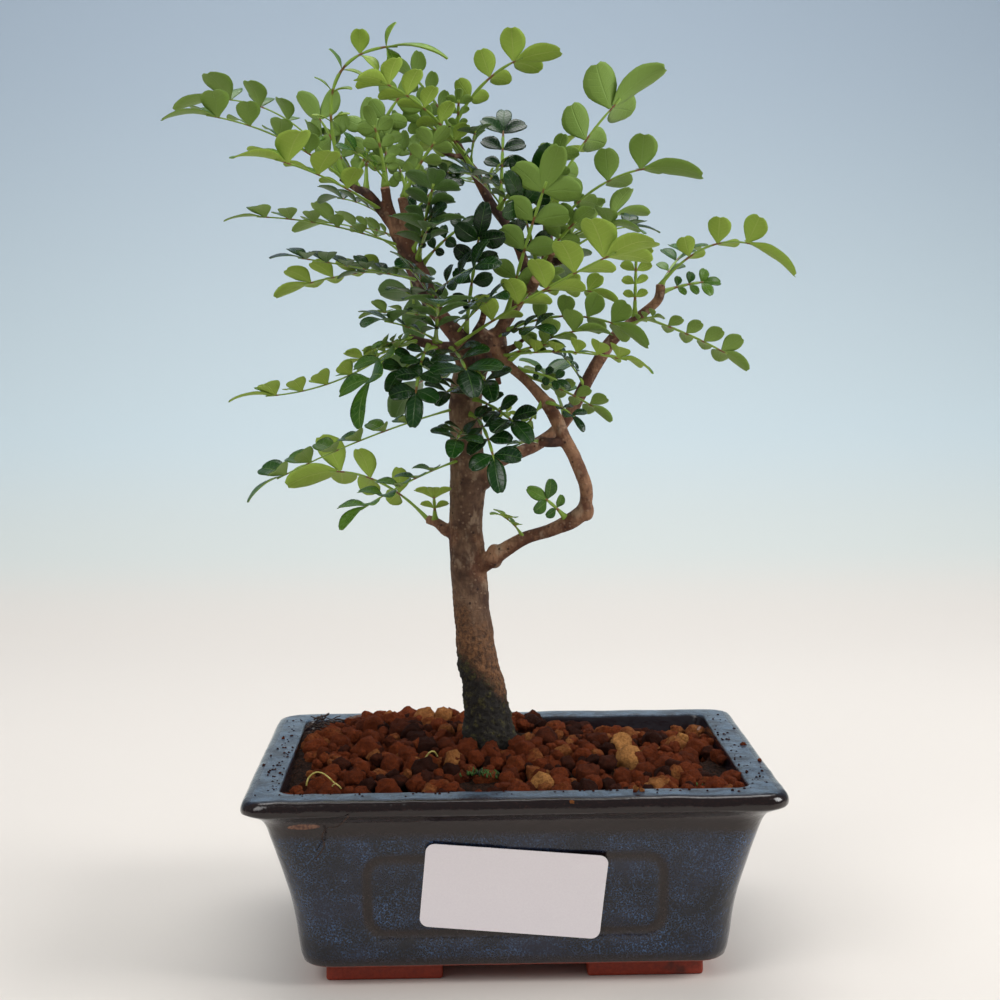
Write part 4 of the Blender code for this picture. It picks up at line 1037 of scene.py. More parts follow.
# %% Places and radii of the wood
# Each branch: places along it, with its radius at each
WOOD = {
    "trunk": [
        (-0.006, 0.008, 0.045, 0.009),
        (-0.006, 0.008, 0.0545, 0.0085), (-0.006, 0.008, 0.060, 0.008),
        (-0.0065, 0.008, 0.066, 0.007), (-0.0075, 0.008, 0.075, 0.0065),
        (-0.0095, 0.008, 0.085, 0.006), (-0.011, 0.008, 0.100, 0.0055),
        (-0.012, 0.008, 0.115, 0.0055), (-0.0125, 0.008, 0.126, 0.005),
        (-0.0115, 0.008, 0.139, 0.0055), (-0.012, 0.008, 0.150, 0.005),
        (-0.012, 0.008, 0.162, 0.005), (-0.0105, 0.0075, 0.171, 0.005),
        (-0.007, 0.0065, 0.178, 0.005), (-0.004, 0.006, 0.182, 0.004),
    ],
    "bent_branch": [
        (-0.009, 0.007, 0.112, 0.003), (-0.003, 0.004, 0.116, 0.0025),
        (0.005, 0.002, 0.121, 0.002), (0.013, 0.001, 0.1235, 0.002),
        (0.020, 0.000, 0.127, 0.0025), (0.023, -0.001, 0.131, 0.002),
        (0.023, -0.003, 0.137, 0.002), (0.020, -0.004, 0.145, 0.002),
        (0.017, -0.004, 0.151, 0.002), (0.013, -0.003, 0.1595, 0.002),
        (0.007, -0.001, 0.167, 0.0015), (0.001, 0.001, 0.1725, 0.0015),
        (-0.004, 0.004, 0.178, 0.002),
    ],
    "back_branch": [
        (-0.010, 0.009, 0.141, 0.002), (0.000, 0.018, 0.144, 0.002),
        (0.010, 0.023, 0.148, 0.002), (0.017, 0.025, 0.153, 0.002),
        (0.022, 0.026, 0.160, 0.002), (0.028, 0.027, 0.171, 0.002),
        (0.034, 0.028, 0.180, 0.002), (0.042, 0.028, 0.187, 0.0015),
        (0.048, 0.028, 0.192, 0.0015), (0.049, 0.028, 0.197, 0.0015),
    ],
    "left_leader": [
        (-0.008, 0.007, 0.176, 0.0035), (-0.013, 0.006, 0.180, 0.003),
        (-0.018, 0.005, 0.186, 0.0025), (-0.022, 0.004, 0.191, 0.0025),
        (-0.025, 0.003, 0.200, 0.0025), (-0.029, 0.002, 0.207, 0.0025),
        (-0.032, 0.002, 0.213, 0.0025),
    ],
    "left_twig": [
        (-0.032, 0.002, 0.213, 0.002), (-0.036, 0.001, 0.218, 0.0015),
        (-0.040, 0.000, 0.223, 0.0015), (-0.044, 0.001, 0.225, 0.001),
        (-0.048, 0.002, 0.228, 0.001),
    ],
    "left_cut": [
        (-0.032, 0.0015, 0.213, 0.002), (-0.034, 0.000, 0.219, 0.0015),
        (-0.035, -0.002, 0.225, 0.0015),
    ],
    "middle_cut": [
        (-0.028, 0.002, 0.207, 0.002), (-0.029, 0.000, 0.216, 0.0015),
        (-0.030, -0.001, 0.222, 0.0015),
    ],
    "right_leader": [
        (-0.005, 0.006, 0.177, 0.0025), (-0.001, 0.005, 0.184, 0.002),
        (0.004, 0.006, 0.192, 0.002), (0.008, 0.006, 0.198, 0.0015),
        (0.012, 0.007, 0.203, 0.0015), (0.013, 0.008, 0.212, 0.0015),
        (0.012, 0.008, 0.218, 0.001),
    ],
    "right_cut": [
        (0.012, 0.007, 0.203, 0.0015), (0.017, 0.005, 0.204, 0.0015),
        (0.020, 0.004, 0.207, 0.0015),
    ],
    "top_branch": [
        (0.007, 0.006, 0.197, 0.002), (0.005, 0.010, 0.206, 0.0015),
        (0.001, 0.010, 0.214, 0.0015), (-0.004, 0.010, 0.221, 0.0015),
        (-0.008, 0.011, 0.229, 0.0015), (-0.012, 0.012, 0.236, 0.001),
        (-0.016, 0.013, 0.244, 0.001),
    ],
    "left_stub": [
        (-0.009, 0.007, 0.177, 0.002), (-0.014, 0.004, 0.178, 0.002),
        (-0.019, 0.000, 0.1785, 0.0015), (-0.024, -0.002, 0.1795, 0.0015),
        (-0.029, -0.003, 0.181, 0.0015),
    ],
    "low_stub": [
        (-0.012, 0.008, 0.121, 0.0025), (-0.018, 0.009, 0.123, 0.002),
        (-0.021, 0.011, 0.125, 0.0015), (-0.024, 0.013, 0.126, 0.0015),
    ],
    "bent_stub": [
        (0.017, -0.004, 0.1505, 0.0015), (0.013, -0.005, 0.150, 0.0015),
        (0.009, -0.005, 0.1505, 0.0015),
    ],
    "rear_twig": [
        (-0.021, 0.005, 0.190, 0.0015), (-0.025, 0.013, 0.195, 0.0015),
        (-0.028, 0.022, 0.201, 0.0015), (-0.032, 0.029, 0.208, 0.001),
    ],
    "dead_twig_left": [
        (-0.009, 0.004, 0.182, 0.0014), (-0.007, 0.000, 0.186, 0.0011),
        (-0.006, -0.003, 0.190, 0.0009), (-0.003, -0.005, 0.193, 0.0006),
    ],
    "dead_twig_right": [
        (-0.001, 0.004, 0.177, 0.0013), (0.002, 0.000, 0.178, 0.0010), (0.006, -0.003, 0.181, 0.0006),
    ],
    "hanging_stub": [
        (-0.006, 0.003, 0.178, 0.0015), (-0.005, -0.001, 0.174, 0.0012),
        (-0.003, -0.002, 0.170, 0.0010), (-0.002, -0.002, 0.167, 0.0007),
    ],
    "hanging_stub_left": [
        (-0.008, 0.003, 0.177, 0.0014), (-0.008, -0.001, 0.173, 0.0012), (-0.007, -0.002, 0.169, 0.0010),
    ],
    "top_side_twig": [
        (-0.012, 0.012, 0.235, 0.0009), (-0.016, 0.009, 0.235, 0.0008), (-0.020, 0.006, 0.237, 0.0005),
    ],
    "heart_cut": [
        (0.007, 0.006, 0.195, 0.0018), (0.008, 0.002, 0.196, 0.0017), (0.009, -0.002, 0.198, 0.0016),
    ],
    "front_cut": [
        (0.011, 0.007, 0.202, 0.0014), (0.0125, 0.004, 0.204, 0.0013), (0.014, 0.001, 0.206, 0.0012),
    ],
    "rear_high_twig": [
        (0.002, 0.010, 0.212, 0.0015), (0.006, 0.018, 0.218, 0.001),
        (0.007, 0.027, 0.224, 0.001), (0.007, 0.033, 0.230, 0.001),
    ],
}
# Middle and radius
KNOTS = [
    (-0.007, 0.0065, 0.139, 0.003), (-0.004, 0.004, 0.1155, 0.003),
    (-0.003, 0.006, 0.179, 0.004), (-0.014, 0.007, 0.178, 0.0035),
    (0.0235, -0.001, 0.1295, 0.0025), (0.013, -0.003, 0.1605, 0.002),
    (-0.011, 0.006, 0.061, 0.0035), (-0.001, 0.0055, 0.060, 0.0035),
]
print("branches:", len(WOOD), "knots:", len(KNOTS))

# %% [markdown]
# Tubes that only touch would show a crease at each fork. So knots are added as balls, and a voxel
# remesh melts everything into one skin, with the soft unions that wood has where a branch leaves the
# trunk. A few rounds of smoothing take away the remesh's steps.

# %% Sweep and melt the wood
TUBE_SIDES = 22
VOXEL = 0.42 * MM
KNOT_FILL, KNOT_STRETCH = 0.94, (0.95, 0.95, 1.35)


def melt(sheet, voxel):
    """One closed skin over everything in the sheet, made of cubes of the given size, then relaxed."""
    mesh = bpy.data.meshes.new("melted")
    mesh.from_pydata([tuple(p) for p in sheet.points], [], sheet.faces)
    helper = bpy.data.objects.new("melted", mesh)
    bpy.context.scene.collection.objects.link(helper)
    remesh = helper.modifiers.new("remesh", "REMESH")
    remesh.mode = "VOXEL"
    remesh.voxel_size = voxel
    relax = helper.modifiers.new("relax", "SMOOTH")
    relax.factor = 0.5
    relax.iterations = 6
    result = bpy.data.meshes.new_from_object(helper.evaluated_get(bpy.context.evaluated_depsgraph_get()))
    bpy.data.objects.remove(helper)
    return result


ROUTES = {name: fine_route([(x + POT_OFFSET, y, z, r) for x, y, z, r in route])
          for name, route in WOOD.items()}
rough_wood = Sheet()
for route in ROUTES.values():
    tube(rough_wood, route, TUBE_SIDES)
for x, y, z, radius in KNOTS:
    knot = BALL_POINTS * np.array(KNOT_STRETCH) * (KNOT_FILL * radius)
    rough_wood.add(knot + np.array((x + POT_OFFSET, y, z)), BALL_FACES)
tree_mesh = melt(rough_wood, VOXEL)
print("wood points:", len(tree_mesh.vertices))

# %% [markdown]
# ## Bark
# Each point of the melted skin learns which branch it lies on and how near it is to a cut end. Old
# wood is a smooth grey brown with small warts, the branches are warmer, and the young wood is a dark
# red brown. What a point knows is shared with its neighbours a few times over, so the colour of a
# branch flows into the trunk. Towards the soil the bark turns to a rough orange brown crust, and then
# to dark moss, which climbs higher on the left. The bark's relief is raised with noise.

# %% Raise and mark the bark
SHARINGS = 24
MOSS_BAND, CRUST_BAND = (68 * MM, 86 * MM), (80 * MM, 108 * MM)
# How young the wood of a branch is, from 0 to 1; branches not named are the youngest
HOW_YOUNG = {"trunk": 0.0, "bent_branch": 0.45, "back_branch": 0.6, "left_leader": 0.8,
             "right_leader": 0.75, "low_stub": 0.5, "left_stub": 0.8, "left_cut": 0.35,
             "middle_cut": 0.35, "heart_cut": 0.5, "front_cut": 0.5}
CUT_ENDS = ("left_cut", "middle_cut", "right_cut", "bent_stub", "low_stub", "heart_cut", "front_cut")


def mark_bark(mesh):
    places = points_of(mesh).astype(float)
    stations = [(point, name) for name, route in ROUTES.items() for point in route]
    tree = KDTree(len(stations))
    for index, (point, _) in enumerate(stations):
        tree.insert(Vector(point[:3]), index)
    tree.balance()
    normals = np.empty(len(mesh.vertices) * 3, np.float32)
    mesh.vertex_normals.foreach_get("vector", normals)
    normals = normals.reshape(-1, 3)
    young, radius = np.zeros(len(places)), np.zeros(len(places))
    for k, place in enumerate(places):
        _, index, _ = tree.find(Vector(place))
        point, name = stations[index]
        young[k] = HOW_YOUNG.get(name, 1.0)
        radius[k] = point[3]
    cut = np.zeros(len(places))
    for name in CUT_ENDS:
        end, before = Vector(ROUTES[name][-1][:3]), Vector(ROUTES[name][-3][:3])
        ahead = np.array((end - before).normalized())
        offset = places - np.array(end)
        near = np.linalg.norm(offset, axis=1) < ROUTES[name][-1][3] + 0.8 * MM
        faces_on = (normals @ ahead) > 0.55
        cut = np.maximum(cut, near & faces_on)
    links = np.empty(len(mesh.edges) * 2, np.int32)
    mesh.edges.foreach_get("vertices", links)
    links = links.reshape(-1, 2)
    count = np.bincount(links.ravel(), minlength=len(places))
    for _ in range(SHARINGS):
        pooled = np.bincount(links[:, 0], young[links[:, 1]], len(places))
        pooled += np.bincount(links[:, 1], young[links[:, 0]], len(places))
        young = (young + pooled) / (1 + count)
    leftward = POT_OFFSET + TRUNK_FOOT[0] - places[:, 0]
    moss = 1 - smooth_step(places[:, 2] - leftward, *MOSS_BAND)
    crust = 1 - smooth_step(places[:, 2] - leftward, *CRUST_BAND)
    for k, place in enumerate(places):
        here = Vector(place)
        rough = noise.fractal(Vector((here.x, here.y, here.z * 0.45)) / (1.6 * MM), 0.8, 2.0, 3)
        rings = noise.noise(Vector((here.x * 0.3, here.y * 0.3, here.z)) / (1.3 * MM))
        lumps = noise.noise(here / (5 * MM))
        depth = min(radius[k], 5.5 * MM)
        lift = depth * (0.026 * rough + 0.018 * rings + 0.060 * lumps) * (1 - 0.7 * cut[k])
        crumbs_here = noise.fractal(here / (1.2 * MM), 0.7, 2.0, 3)
        mound = noise.noise(here / (2.6 * MM) + Vector((5, 0, 0)))
        lift += (0.16 * crust[k] + 0.32 * moss[k]) * MM * crumbs_here + moss[k] * mound * 0.5 * MM
        places[k] += normals[k] * lift
    mesh.vertices.foreach_set("co", places.astype(np.float32).ravel())
    return {"young": young, "cut": cut, "moss": moss, "crust": crust}


bark_marks = mark_bark(tree_mesh)
print("marks on the wood:", ", ".join(bark_marks))

# %% [markdown]
# The bark's finish lays one thing over another: the three ages of wood, pale patches, dark lines along
# and across, warts and leaf scars, then the crust, the moss and the pale wood of the cut ends.

# %% The bark
bark = Finish("bark", roughness=0.85)
young = bark.marked("young")
mottle = bark.blotches(7 * MM, detail=4, rough=0.6)
patchy = bark.blotches(3.5 * MM, detail=3, place=bark.stretched(1, 1, 0.6))
grain_lines = bark.blotches(0.9 * MM, detail=4, place=bark.stretched(1, 1, 0.4))
wrinkles = bark.blotches(1.2 * MM, detail=3, place=bark.stretched(0.3, 0.3, 1.6))
old_colour = bark.mix(bark.between(mottle, 0.34, 0.66), paint(68, 42, 26), paint(118, 90, 68))
branch_colour = bark.mix(bark.between(mottle, 0.40, 0.62), paint(88, 52, 32), paint(140, 102, 74))
twig_colour = bark.mix(bark.between(mottle, 0.40, 0.66), paint(48, 26, 18), paint(96, 58, 38))
colour = bark.mix(bark.between(young, 0.05, 0.50), old_colour, branch_colour)
colour = bark.mix(bark.between(young, 0.50, 0.90), colour, twig_colour)
colour = bark.mix(bark.times(bark.between(patchy, 0.54, 0.70), 0.55), colour, paint(156, 132, 108))
dark_lines = bark.larger(bark.between(grain_lines, 0.50, 0.34), bark.between(wrinkles, 0.42, 0.32))
colour = bark.mix(bark.times(dark_lines, 0.40), colour, paint(46, 28, 20))
warts = bark.between(bark.pebbles(1.9 * MM), 0.26, 0.12)
colour = bark.mix(bark.times(warts, 0.40), colour, paint(156, 126, 100))
scars = bark.between(bark.pebbles(3.3 * MM), 0.15, 0.09)
colour = bark.mix(bark.times(scars, 0.80), colour, paint(44, 26, 18))
crumbly = bark.blotches(1.3 * MM, detail=4, rough=0.7)
crust_colour = bark.mix(bark.between(crumbly, 0.28, 0.70), paint(46, 27, 16), paint(130, 88, 54))
broken = bark.times(bark.less(patchy, 0.5), 1.6)
crust_share = bark.between(bark.plus(bark.marked("crust"), broken), 0.25, 0.95)
colour = bark.mix(crust_share, colour, crust_colour)
mossy = bark.blotches(2.0 * MM, detail=4, rough=0.7)
moss_share = bark.between(bark.plus(bark.marked("moss"), bark.less(mossy, 0.5)), 0.25, 0.7)
moss_colour = bark.mix(bark.between(mossy, 0.48, 0.74), paint(22, 16, 9), paint(80, 74, 34))
colour = bark.mix(moss_share, colour, moss_colour)
cut_colour = bark.mix(bark.blotches(0.8 * MM), paint(120, 78, 56), paint(190, 150, 120))
colour = bark.mix(bark.marked("cut"), colour, cut_colour)
bark.set("Base Color", colour)
bark.bump((grain_lines, 0.25 * MM), (wrinkles, 0.15 * MM), (warts, 0.15 * MM), (scars, 0.15 * MM),
          (crumbly, bark.times(crust_share, 0.8 * MM)))

tree_mesh.materials.clear()
tree_mesh.materials.append(bark.material)
dress("tree", tree_mesh, ["tree"], bark_marks)
print("tree dressed")

# %% [markdown]
# ## Leaves
# A leaf of this tree is compound: a slim winged stalk with pairs of small rounded leaflets and one
# leaflet at its end. Every leaf is described by one line of a table: the branch it grows from, how
# far along it, where its tip is, how it arches, and its tone. From that line the code lays a path,
# raises the pairs in a shallow V, and builds each leaflet as a thin closed blade. Fold is the angle of
# that V in degrees. Turn says where the leaf's upper face looks: 0 is up, 1 to the front and -1 to
# the back. Level says how far each leaflet tips over from the stalk's own face to lie flat. Two lines
# with one name are leaves that share a bud.

# %% The table of leaves
YOUNG, FULL, DEEP = "young", "full", "deep"
# Name, branch, how far along it, tip, arch, pairs of leaflets, fold, turn, level, tone
LEAVES = [
    ("leaf_top_arch", "left_twig", 0.93, (-0.016, 0.000, 0.264), 0.42, 5, 14, 1.0, 0.8, YOUNG),
    ("leaf_top_mid", "left_twig", 0.80, (-0.025, 0.000, 0.258), 0.04, 4, 15, -0.7, 0.0, FULL),
    ("leaf_far_left_high", "left_twig", 1.00, (-0.098, 0.014, 0.251), 0.17, 4, 30, -0.15, 0.0, FULL),
    ("leaf_far_left", "left_twig", 0.88, (-0.097, -0.016, 0.245), 0.09, 4, 30, -0.1, 0.0, FULL),
    ("leaf_far_left_low", "left_twig", 0.30, (-0.075, -0.036, 0.232), 0.05, 3, 32, -0.15, 0.0, YOUNG),
    ("leaf_crown_left", "left_cut", 0.95, (-0.040, -0.006, 0.248), 0.06, 3, 15, -0.7, 0.0, FULL),
    ("leaf_crown_left", "left_cut", 0.95, (-0.047, -0.022, 0.235), 0.06, 3, 22, 0.5, 0.0, DEEP),
    ("leaf_crown_mid", "middle_cut", 0.95, (-0.016, -0.014, 0.241), 0.05, 3, 15, -0.8, 0.0, FULL),
    ("leaf_crown_mid", "middle_cut", 0.95, (-0.038, 0.026, 0.246), 0.05, 3, 20, -0.6, 0.0, DEEP),
    ("leaf_sky", "top_branch", 0.97, (0.017, 0.002, 0.265), 0.14, 3, 28, -0.5, 0.0, YOUNG),
    ("leaf_sky_left", "top_branch", 0.68, (-0.042, -0.026, 0.254), 0.10, 5, 26, -0.5, 0.0, YOUNG),
    ("leaf_sky_back", "top_branch", 1.00, (-0.034, 0.024, 0.266), 0.06, 3, 24, -0.5, 0.0, FULL),
    ("leaf_glossy_up", "top_branch", 0.42, (0.001, 0.032, 0.252), 0.02, 4, 10, 1.0, 0.0, DEEP),
    ("leaf_glossy_up", "top_branch", 0.42, (-0.015, -0.018, 0.229), 0.06, 3, 20, 0.5, 0.0, DEEP),
    ("leaf_glossy_mid", "left_leader", 0.12, (-0.006, -0.012, 0.219), 0.03, 4, 10, 1.0, 0.0, DEEP),
    ("leaf_rising", "right_leader", 0.20, (0.015, -0.022, 0.235), 0.02, 4, 8, -1.0, 0.0, FULL),
    ("leaf_front", "left_stub", 0.35, (0.039, -0.050, 0.208), 0.02, 5, 28, -0.45, 0.0, YOUNG),
    ("leaf_right_high", "right_leader", 0.82, (0.058, -0.004, 0.229), 0.16, 3, 28, -0.4, 0.0, FULL),
    ("leaf_right_top", "right_leader", 1.00, (0.047, 0.012, 0.262), 0.06, 3, 28, -0.4, 0.0, FULL),
    ("leaf_right_flat", "right_leader", 0.74, (0.045, 0.030, 0.220), 0.06, 3, 28, -0.35, 0.0, FULL),
    ("leaf_right_small", "right_cut", 1.00, (0.047, 0.012, 0.213), 0.10, 3, 24, 0.2, 0.0, DEEP),
    ("leaf_far_right", "back_branch", 1.00, (0.089, 0.012, 0.200), 0.25, 3, 30, -0.35, 0.0, YOUNG),
    ("leaf_right_low", "back_branch", 0.86, (0.078, 0.036, 0.171), 0.03, 4, 22, -0.4, 0.0, FULL),
    ("leaf_right_mid", "back_branch", 0.97, (0.069, 0.034, 0.198), 0.04, 3, 16, 0.7, 0.0, FULL),
    ("leaf_right_up", "back_branch", 0.84, (0.040, 0.012, 0.211), 0.03, 4, 12, -1.0, 0.0, YOUNG),
    ("leaf_right_back", "back_branch", 0.98, (0.064, 0.052, 0.210), 0.08, 3, 22, 0.2, 0.0, FULL),
    ("leaf_left_high", "left_leader", 0.86, (-0.081, -0.010, 0.216), 0.05, 5, 26, -0.05, 0.2, FULL),
    ("leaf_left_mid", "left_leader", 0.62, (-0.067, -0.018, 0.205), 0.01, 5, 30, 0.15, 0.0, DEEP),
    ("leaf_left_pale", "left_leader", 0.72, (-0.070, 0.022, 0.195), 0.03, 4, 25, -0.3, 0.0, YOUNG),
    ("leaf_left_dark", "left_leader", 0.34, (-0.034, -0.016, 0.196), 0.04, 2, 14, 0.1, 0.3, DEEP),
    ("leaf_stub_left", "left_stub", 1.00, (-0.080, -0.016, 0.165), -0.10, 5, 30, -0.15, 0.0, YOUNG),
    ("leaf_stub_small", "left_stub", 0.88, (-0.043, -0.034, 0.157), 0.14, 3, 20, -0.3, 0.0, FULL),
    ("leaf_stub_down", "left_stub", 0.90, (-0.050, 0.010, 0.173), -0.02, 3, 22, -0.2, 0.0, YOUNG),
    ("leaf_stub_face", "left_stub", 0.70, (-0.027, -0.034, 0.157), 0.12, 4, 10, 1.0, 0.0, DEEP),
    ("leaf_middle_flat", "right_leader", 0.12, (0.042, -0.010, 0.179), 0.13, 4, 24, -0.5, 0.0, FULL),
    ("leaf_middle_long", "bent_branch", 0.96, (0.041, -0.026, 0.172), 0.05, 5, 20, -0.3, 0.0, YOUNG),
    ("leaf_middle_drop", "bent_branch", 0.88, (0.032, 0.008, 0.156), 0.04, 4, 18, -0.4, 0.0, FULL),
    ("leaf_trunk_drop", "trunk", 0.80, (-0.003, -0.030, 0.138), 0.14, 4, 10, 1.0, 0.0, DEEP),
    ("leaf_trunk_low", "trunk", 0.70, (-0.048, -0.030, 0.129), 0.03, 5, 22, -0.05, 0.5, FULL),
    ("leaf_trunk_long", "trunk", 0.82, (-0.076, -0.016, 0.136), 0.03, 6, 30, -0.1, 0.0, FULL),
    ("leaf_low_left", "low_stub", 1.00, (-0.068, 0.034, 0.137), 0.15, 3, 22, -0.55, 0.0, YOUNG),
    ("leaf_low_sprig", "low_stub", 0.80, (-0.022, -0.004, 0.138), 0.05, 2, 20, 0.2, 0.0, YOUNG),
    ("leaf_knee", "bent_branch", 0.33, (0.006, -0.012, 0.137), 0.04, 2, 12, 0.8, 0.0, FULL),
    ("leaf_sprout", "bent_branch", 0.18, (-0.005, -0.008, 0.130), 0.08, 2, 22, 0.2, 0.5, YOUNG),
    ("leaf_knot", "bent_branch", 0.76, (0.022, -0.014, 0.154), 0.08, 2, 20, 0.15, 0.3, DEEP),
    ("leaf_bent_stub", "bent_stub", 1.00, (0.000, -0.014, 0.148), 0.08, 2, 22, -0.2, 0.0, FULL),
    ("leaf_inner_left", "left_twig", 0.15, (-0.056, 0.026, 0.224), 0.06, 3, 22, -0.2, 0.3, DEEP),
    ("leaf_inner_mid", "top_branch", 0.72, (-0.027, 0.034, 0.240), 0.08, 3, 22, -0.5, 0.0, YOUNG),
    ("leaf_heart_low", "left_stub", 0.62, (-0.019, -0.046, 0.192), 0.04, 3, 16, 0.15, 0.0, DEEP),
    ("leaf_heart_low", "left_stub", 0.62, (-0.040, -0.036, 0.186), 0.04, 3, 20, 0.1, 0.2, DEEP),
    ("leaf_heart_left", "left_leader", 0.72, (-0.019, -0.034, 0.228), 0.03, 4, 14, -0.8, 0.0, DEEP),
    ("leaf_heart_left", "left_leader", 0.72, (-0.020, -0.034, 0.214), 0.04, 2, 20, 0.3, 0.0, DEEP),
    ("leaf_heart_high", "top_branch", 0.26, (0.012, -0.014, 0.235), 0.03, 3, 16, 0.8, 0.0, DEEP),
    ("leaf_heart_right", "right_leader", 0.72, (0.039, -0.022, 0.211), 0.10, 3, 22, -0.35, 0.0, FULL),
    ("leaf_rear_left", "rear_twig", 1.00, (-0.066, 0.046, 0.217), 0.10, 3, 26, -0.25, 0.0, FULL),
    ("leaf_rear_low", "rear_twig", 0.75, (-0.028, 0.054, 0.180), 0.14, 2, 26, -0.25, 0.0, DEEP),
    ("leaf_rear_high", "rear_high_twig", 1.00, (0.027, 0.048, 0.241), 0.12, 3, 26, -0.25, 0.0, YOUNG),
    ("leaf_rear_top", "rear_high_twig", 0.45, (-0.024, 0.046, 0.230), 0.10, 3, 26, -0.25, 0.0, FULL),
    ("leaf_rear_right", "back_branch", 0.42, (0.009, 0.054, 0.172), 0.12, 2, 26, -0.25, 0.0, FULL),
    ("leaf_rear_mid", "right_leader", 0.55, (0.022, 0.050, 0.199), 0.12, 3, 26, -0.25, 0.0, DEEP),
    ("leaf_rear_trunk", "trunk", 0.86, (-0.035, 0.050, 0.158), 0.12, 2, 26, -0.25, 0.0, DEEP),
]
print("leaves in the table:", len(LEAVES))

# %% [markdown]
# The path of a leaf is a single bend between its seat on the bark and its tip. A frame of three
# directions goes along it: ahead, sideways, and the way that the leaf's upper face looks. The seat is
# found by a ray from the middle of the branch to the solid bark, so that no leaf starts inside it.


# %% A leaf's path and seat
UP = Vector((0.0, 0.0, 1.0))


class LeafPath:
    """A leaf's arched stalk from its seat to the tip of its end leaflet."""

    def __init__(self, seat, tip, arch, turn):
        self.seat = seat
        self.tip = tip
        chord = tip - seat
        self.length = chord.length
        ahead = chord.normalized()
        lift = (UP - ahead * UP.dot(ahead)).normalized()
        self.knee = (seat + tip) / 2 + lift * (2 * arch * self.length)
        self.look = Vector((0.0, -turn, 1.0 - abs(turn)))

    def place(self, t):
        return self.seat.lerp(self.knee, t).lerp(self.knee.lerp(self.tip, t), t)

    def directions(self, t):
        ahead = ((self.knee - self.seat) * (1 - t) + (self.tip - self.knee) * t).normalized()
        side = ahead.cross(self.look).normalized()
        return ahead, side, side.cross(ahead)


BARK_GAP = 0.8 * MM
BARK_REACH = 12 * MM
BUD_RADIUS = 1.3 * MM
solid_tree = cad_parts["tree"].data
solid_bark = BVHTree.FromPolygons([vertex.co for vertex in solid_tree.vertices],
                                  [face.vertices[:] for face in solid_tree.polygons])


def along(route, share):
    """The place at a share of a branch's length."""
    places = [Vector((x + POT_OFFSET, y, z)) for x, y, z, _ in route]
    left = share * sum((b - a).length for a, b in zip(places, places[1:]))
    for a, b in zip(places, places[1:]):
        span = (b - a).length
        if left <= span:
            return a.lerp(b, left / span)
        left -= span
    return places[-1]


def leaf_seat(branch, share, tip, arch):
    """Where the leaf leaves the bark, and its heading there."""
    route = WOOD[branch][1:] if branch == "trunk" else WOOD[branch]
    inside = along(route, share)
    heading = LeafPath(inside, tip, arch, 1.0).directions(0.0)[0]
    hit = solid_bark.ray_cast(inside, heading, BARK_REACH)
    reach = hit[3] if hit[0] else 0.0
    return inside + heading * (reach + BARK_GAP), heading


print("bark ready for leaves")

# %% [markdown]
# A leaflet is widest beyond its middle, narrows to a wedge at the stalk and is blunt at the tip, with
# a finely scalloped margin. It is built as a grid of rows: the blade dips along its midrib, its
# sides rise a little and its tip turns down. A second grid just below closes it, because light
# catches the edge of a real blade.

# %% Leaflets and stalks
BLADE_THICK = 0.26 * MM
BLADE_ROWS = 13
BLADE_CELLS = 6
# Shares of a leaflet's length: where it is widest, from there to the tip, and where the wedge ends
WIDEST_AT, TIP_REACH = 0.56, 0.455
WEDGE_TO, ROOT_HALF = WIDEST_AT - 0.27, 0.05
SCALLOPS, SCALLOP_DEEP = 6.5, 0.022
NOTCH_FROM, NOTCH_DEEP = 0.85, 0.03
WAVE_DEEP = 0.035
# The midrib rises at first and then turns down
MIDRIB_DOWN, MIDRIB_RISE = 0.349, 0.222


def blade_half(s, wide, blunt):
    """Half width at a share s of the length, as a share of the length."""
    full = wide * math.sqrt(max(0.0, 1 - abs((s - WIDEST_AT) / TIP_REACH) ** blunt))
    if s < WEDGE_TO:
        edge = wide * math.sqrt(1 - abs((WEDGE_TO - WIDEST_AT) / TIP_REACH) ** blunt)
        full = ROOT_HALF + (edge - ROOT_HALF) * (s / WEDGE_TO) ** 1.15
    return full * (1 + SCALLOP_DEEP * math.cos(2 * math.pi * SCALLOPS * s))


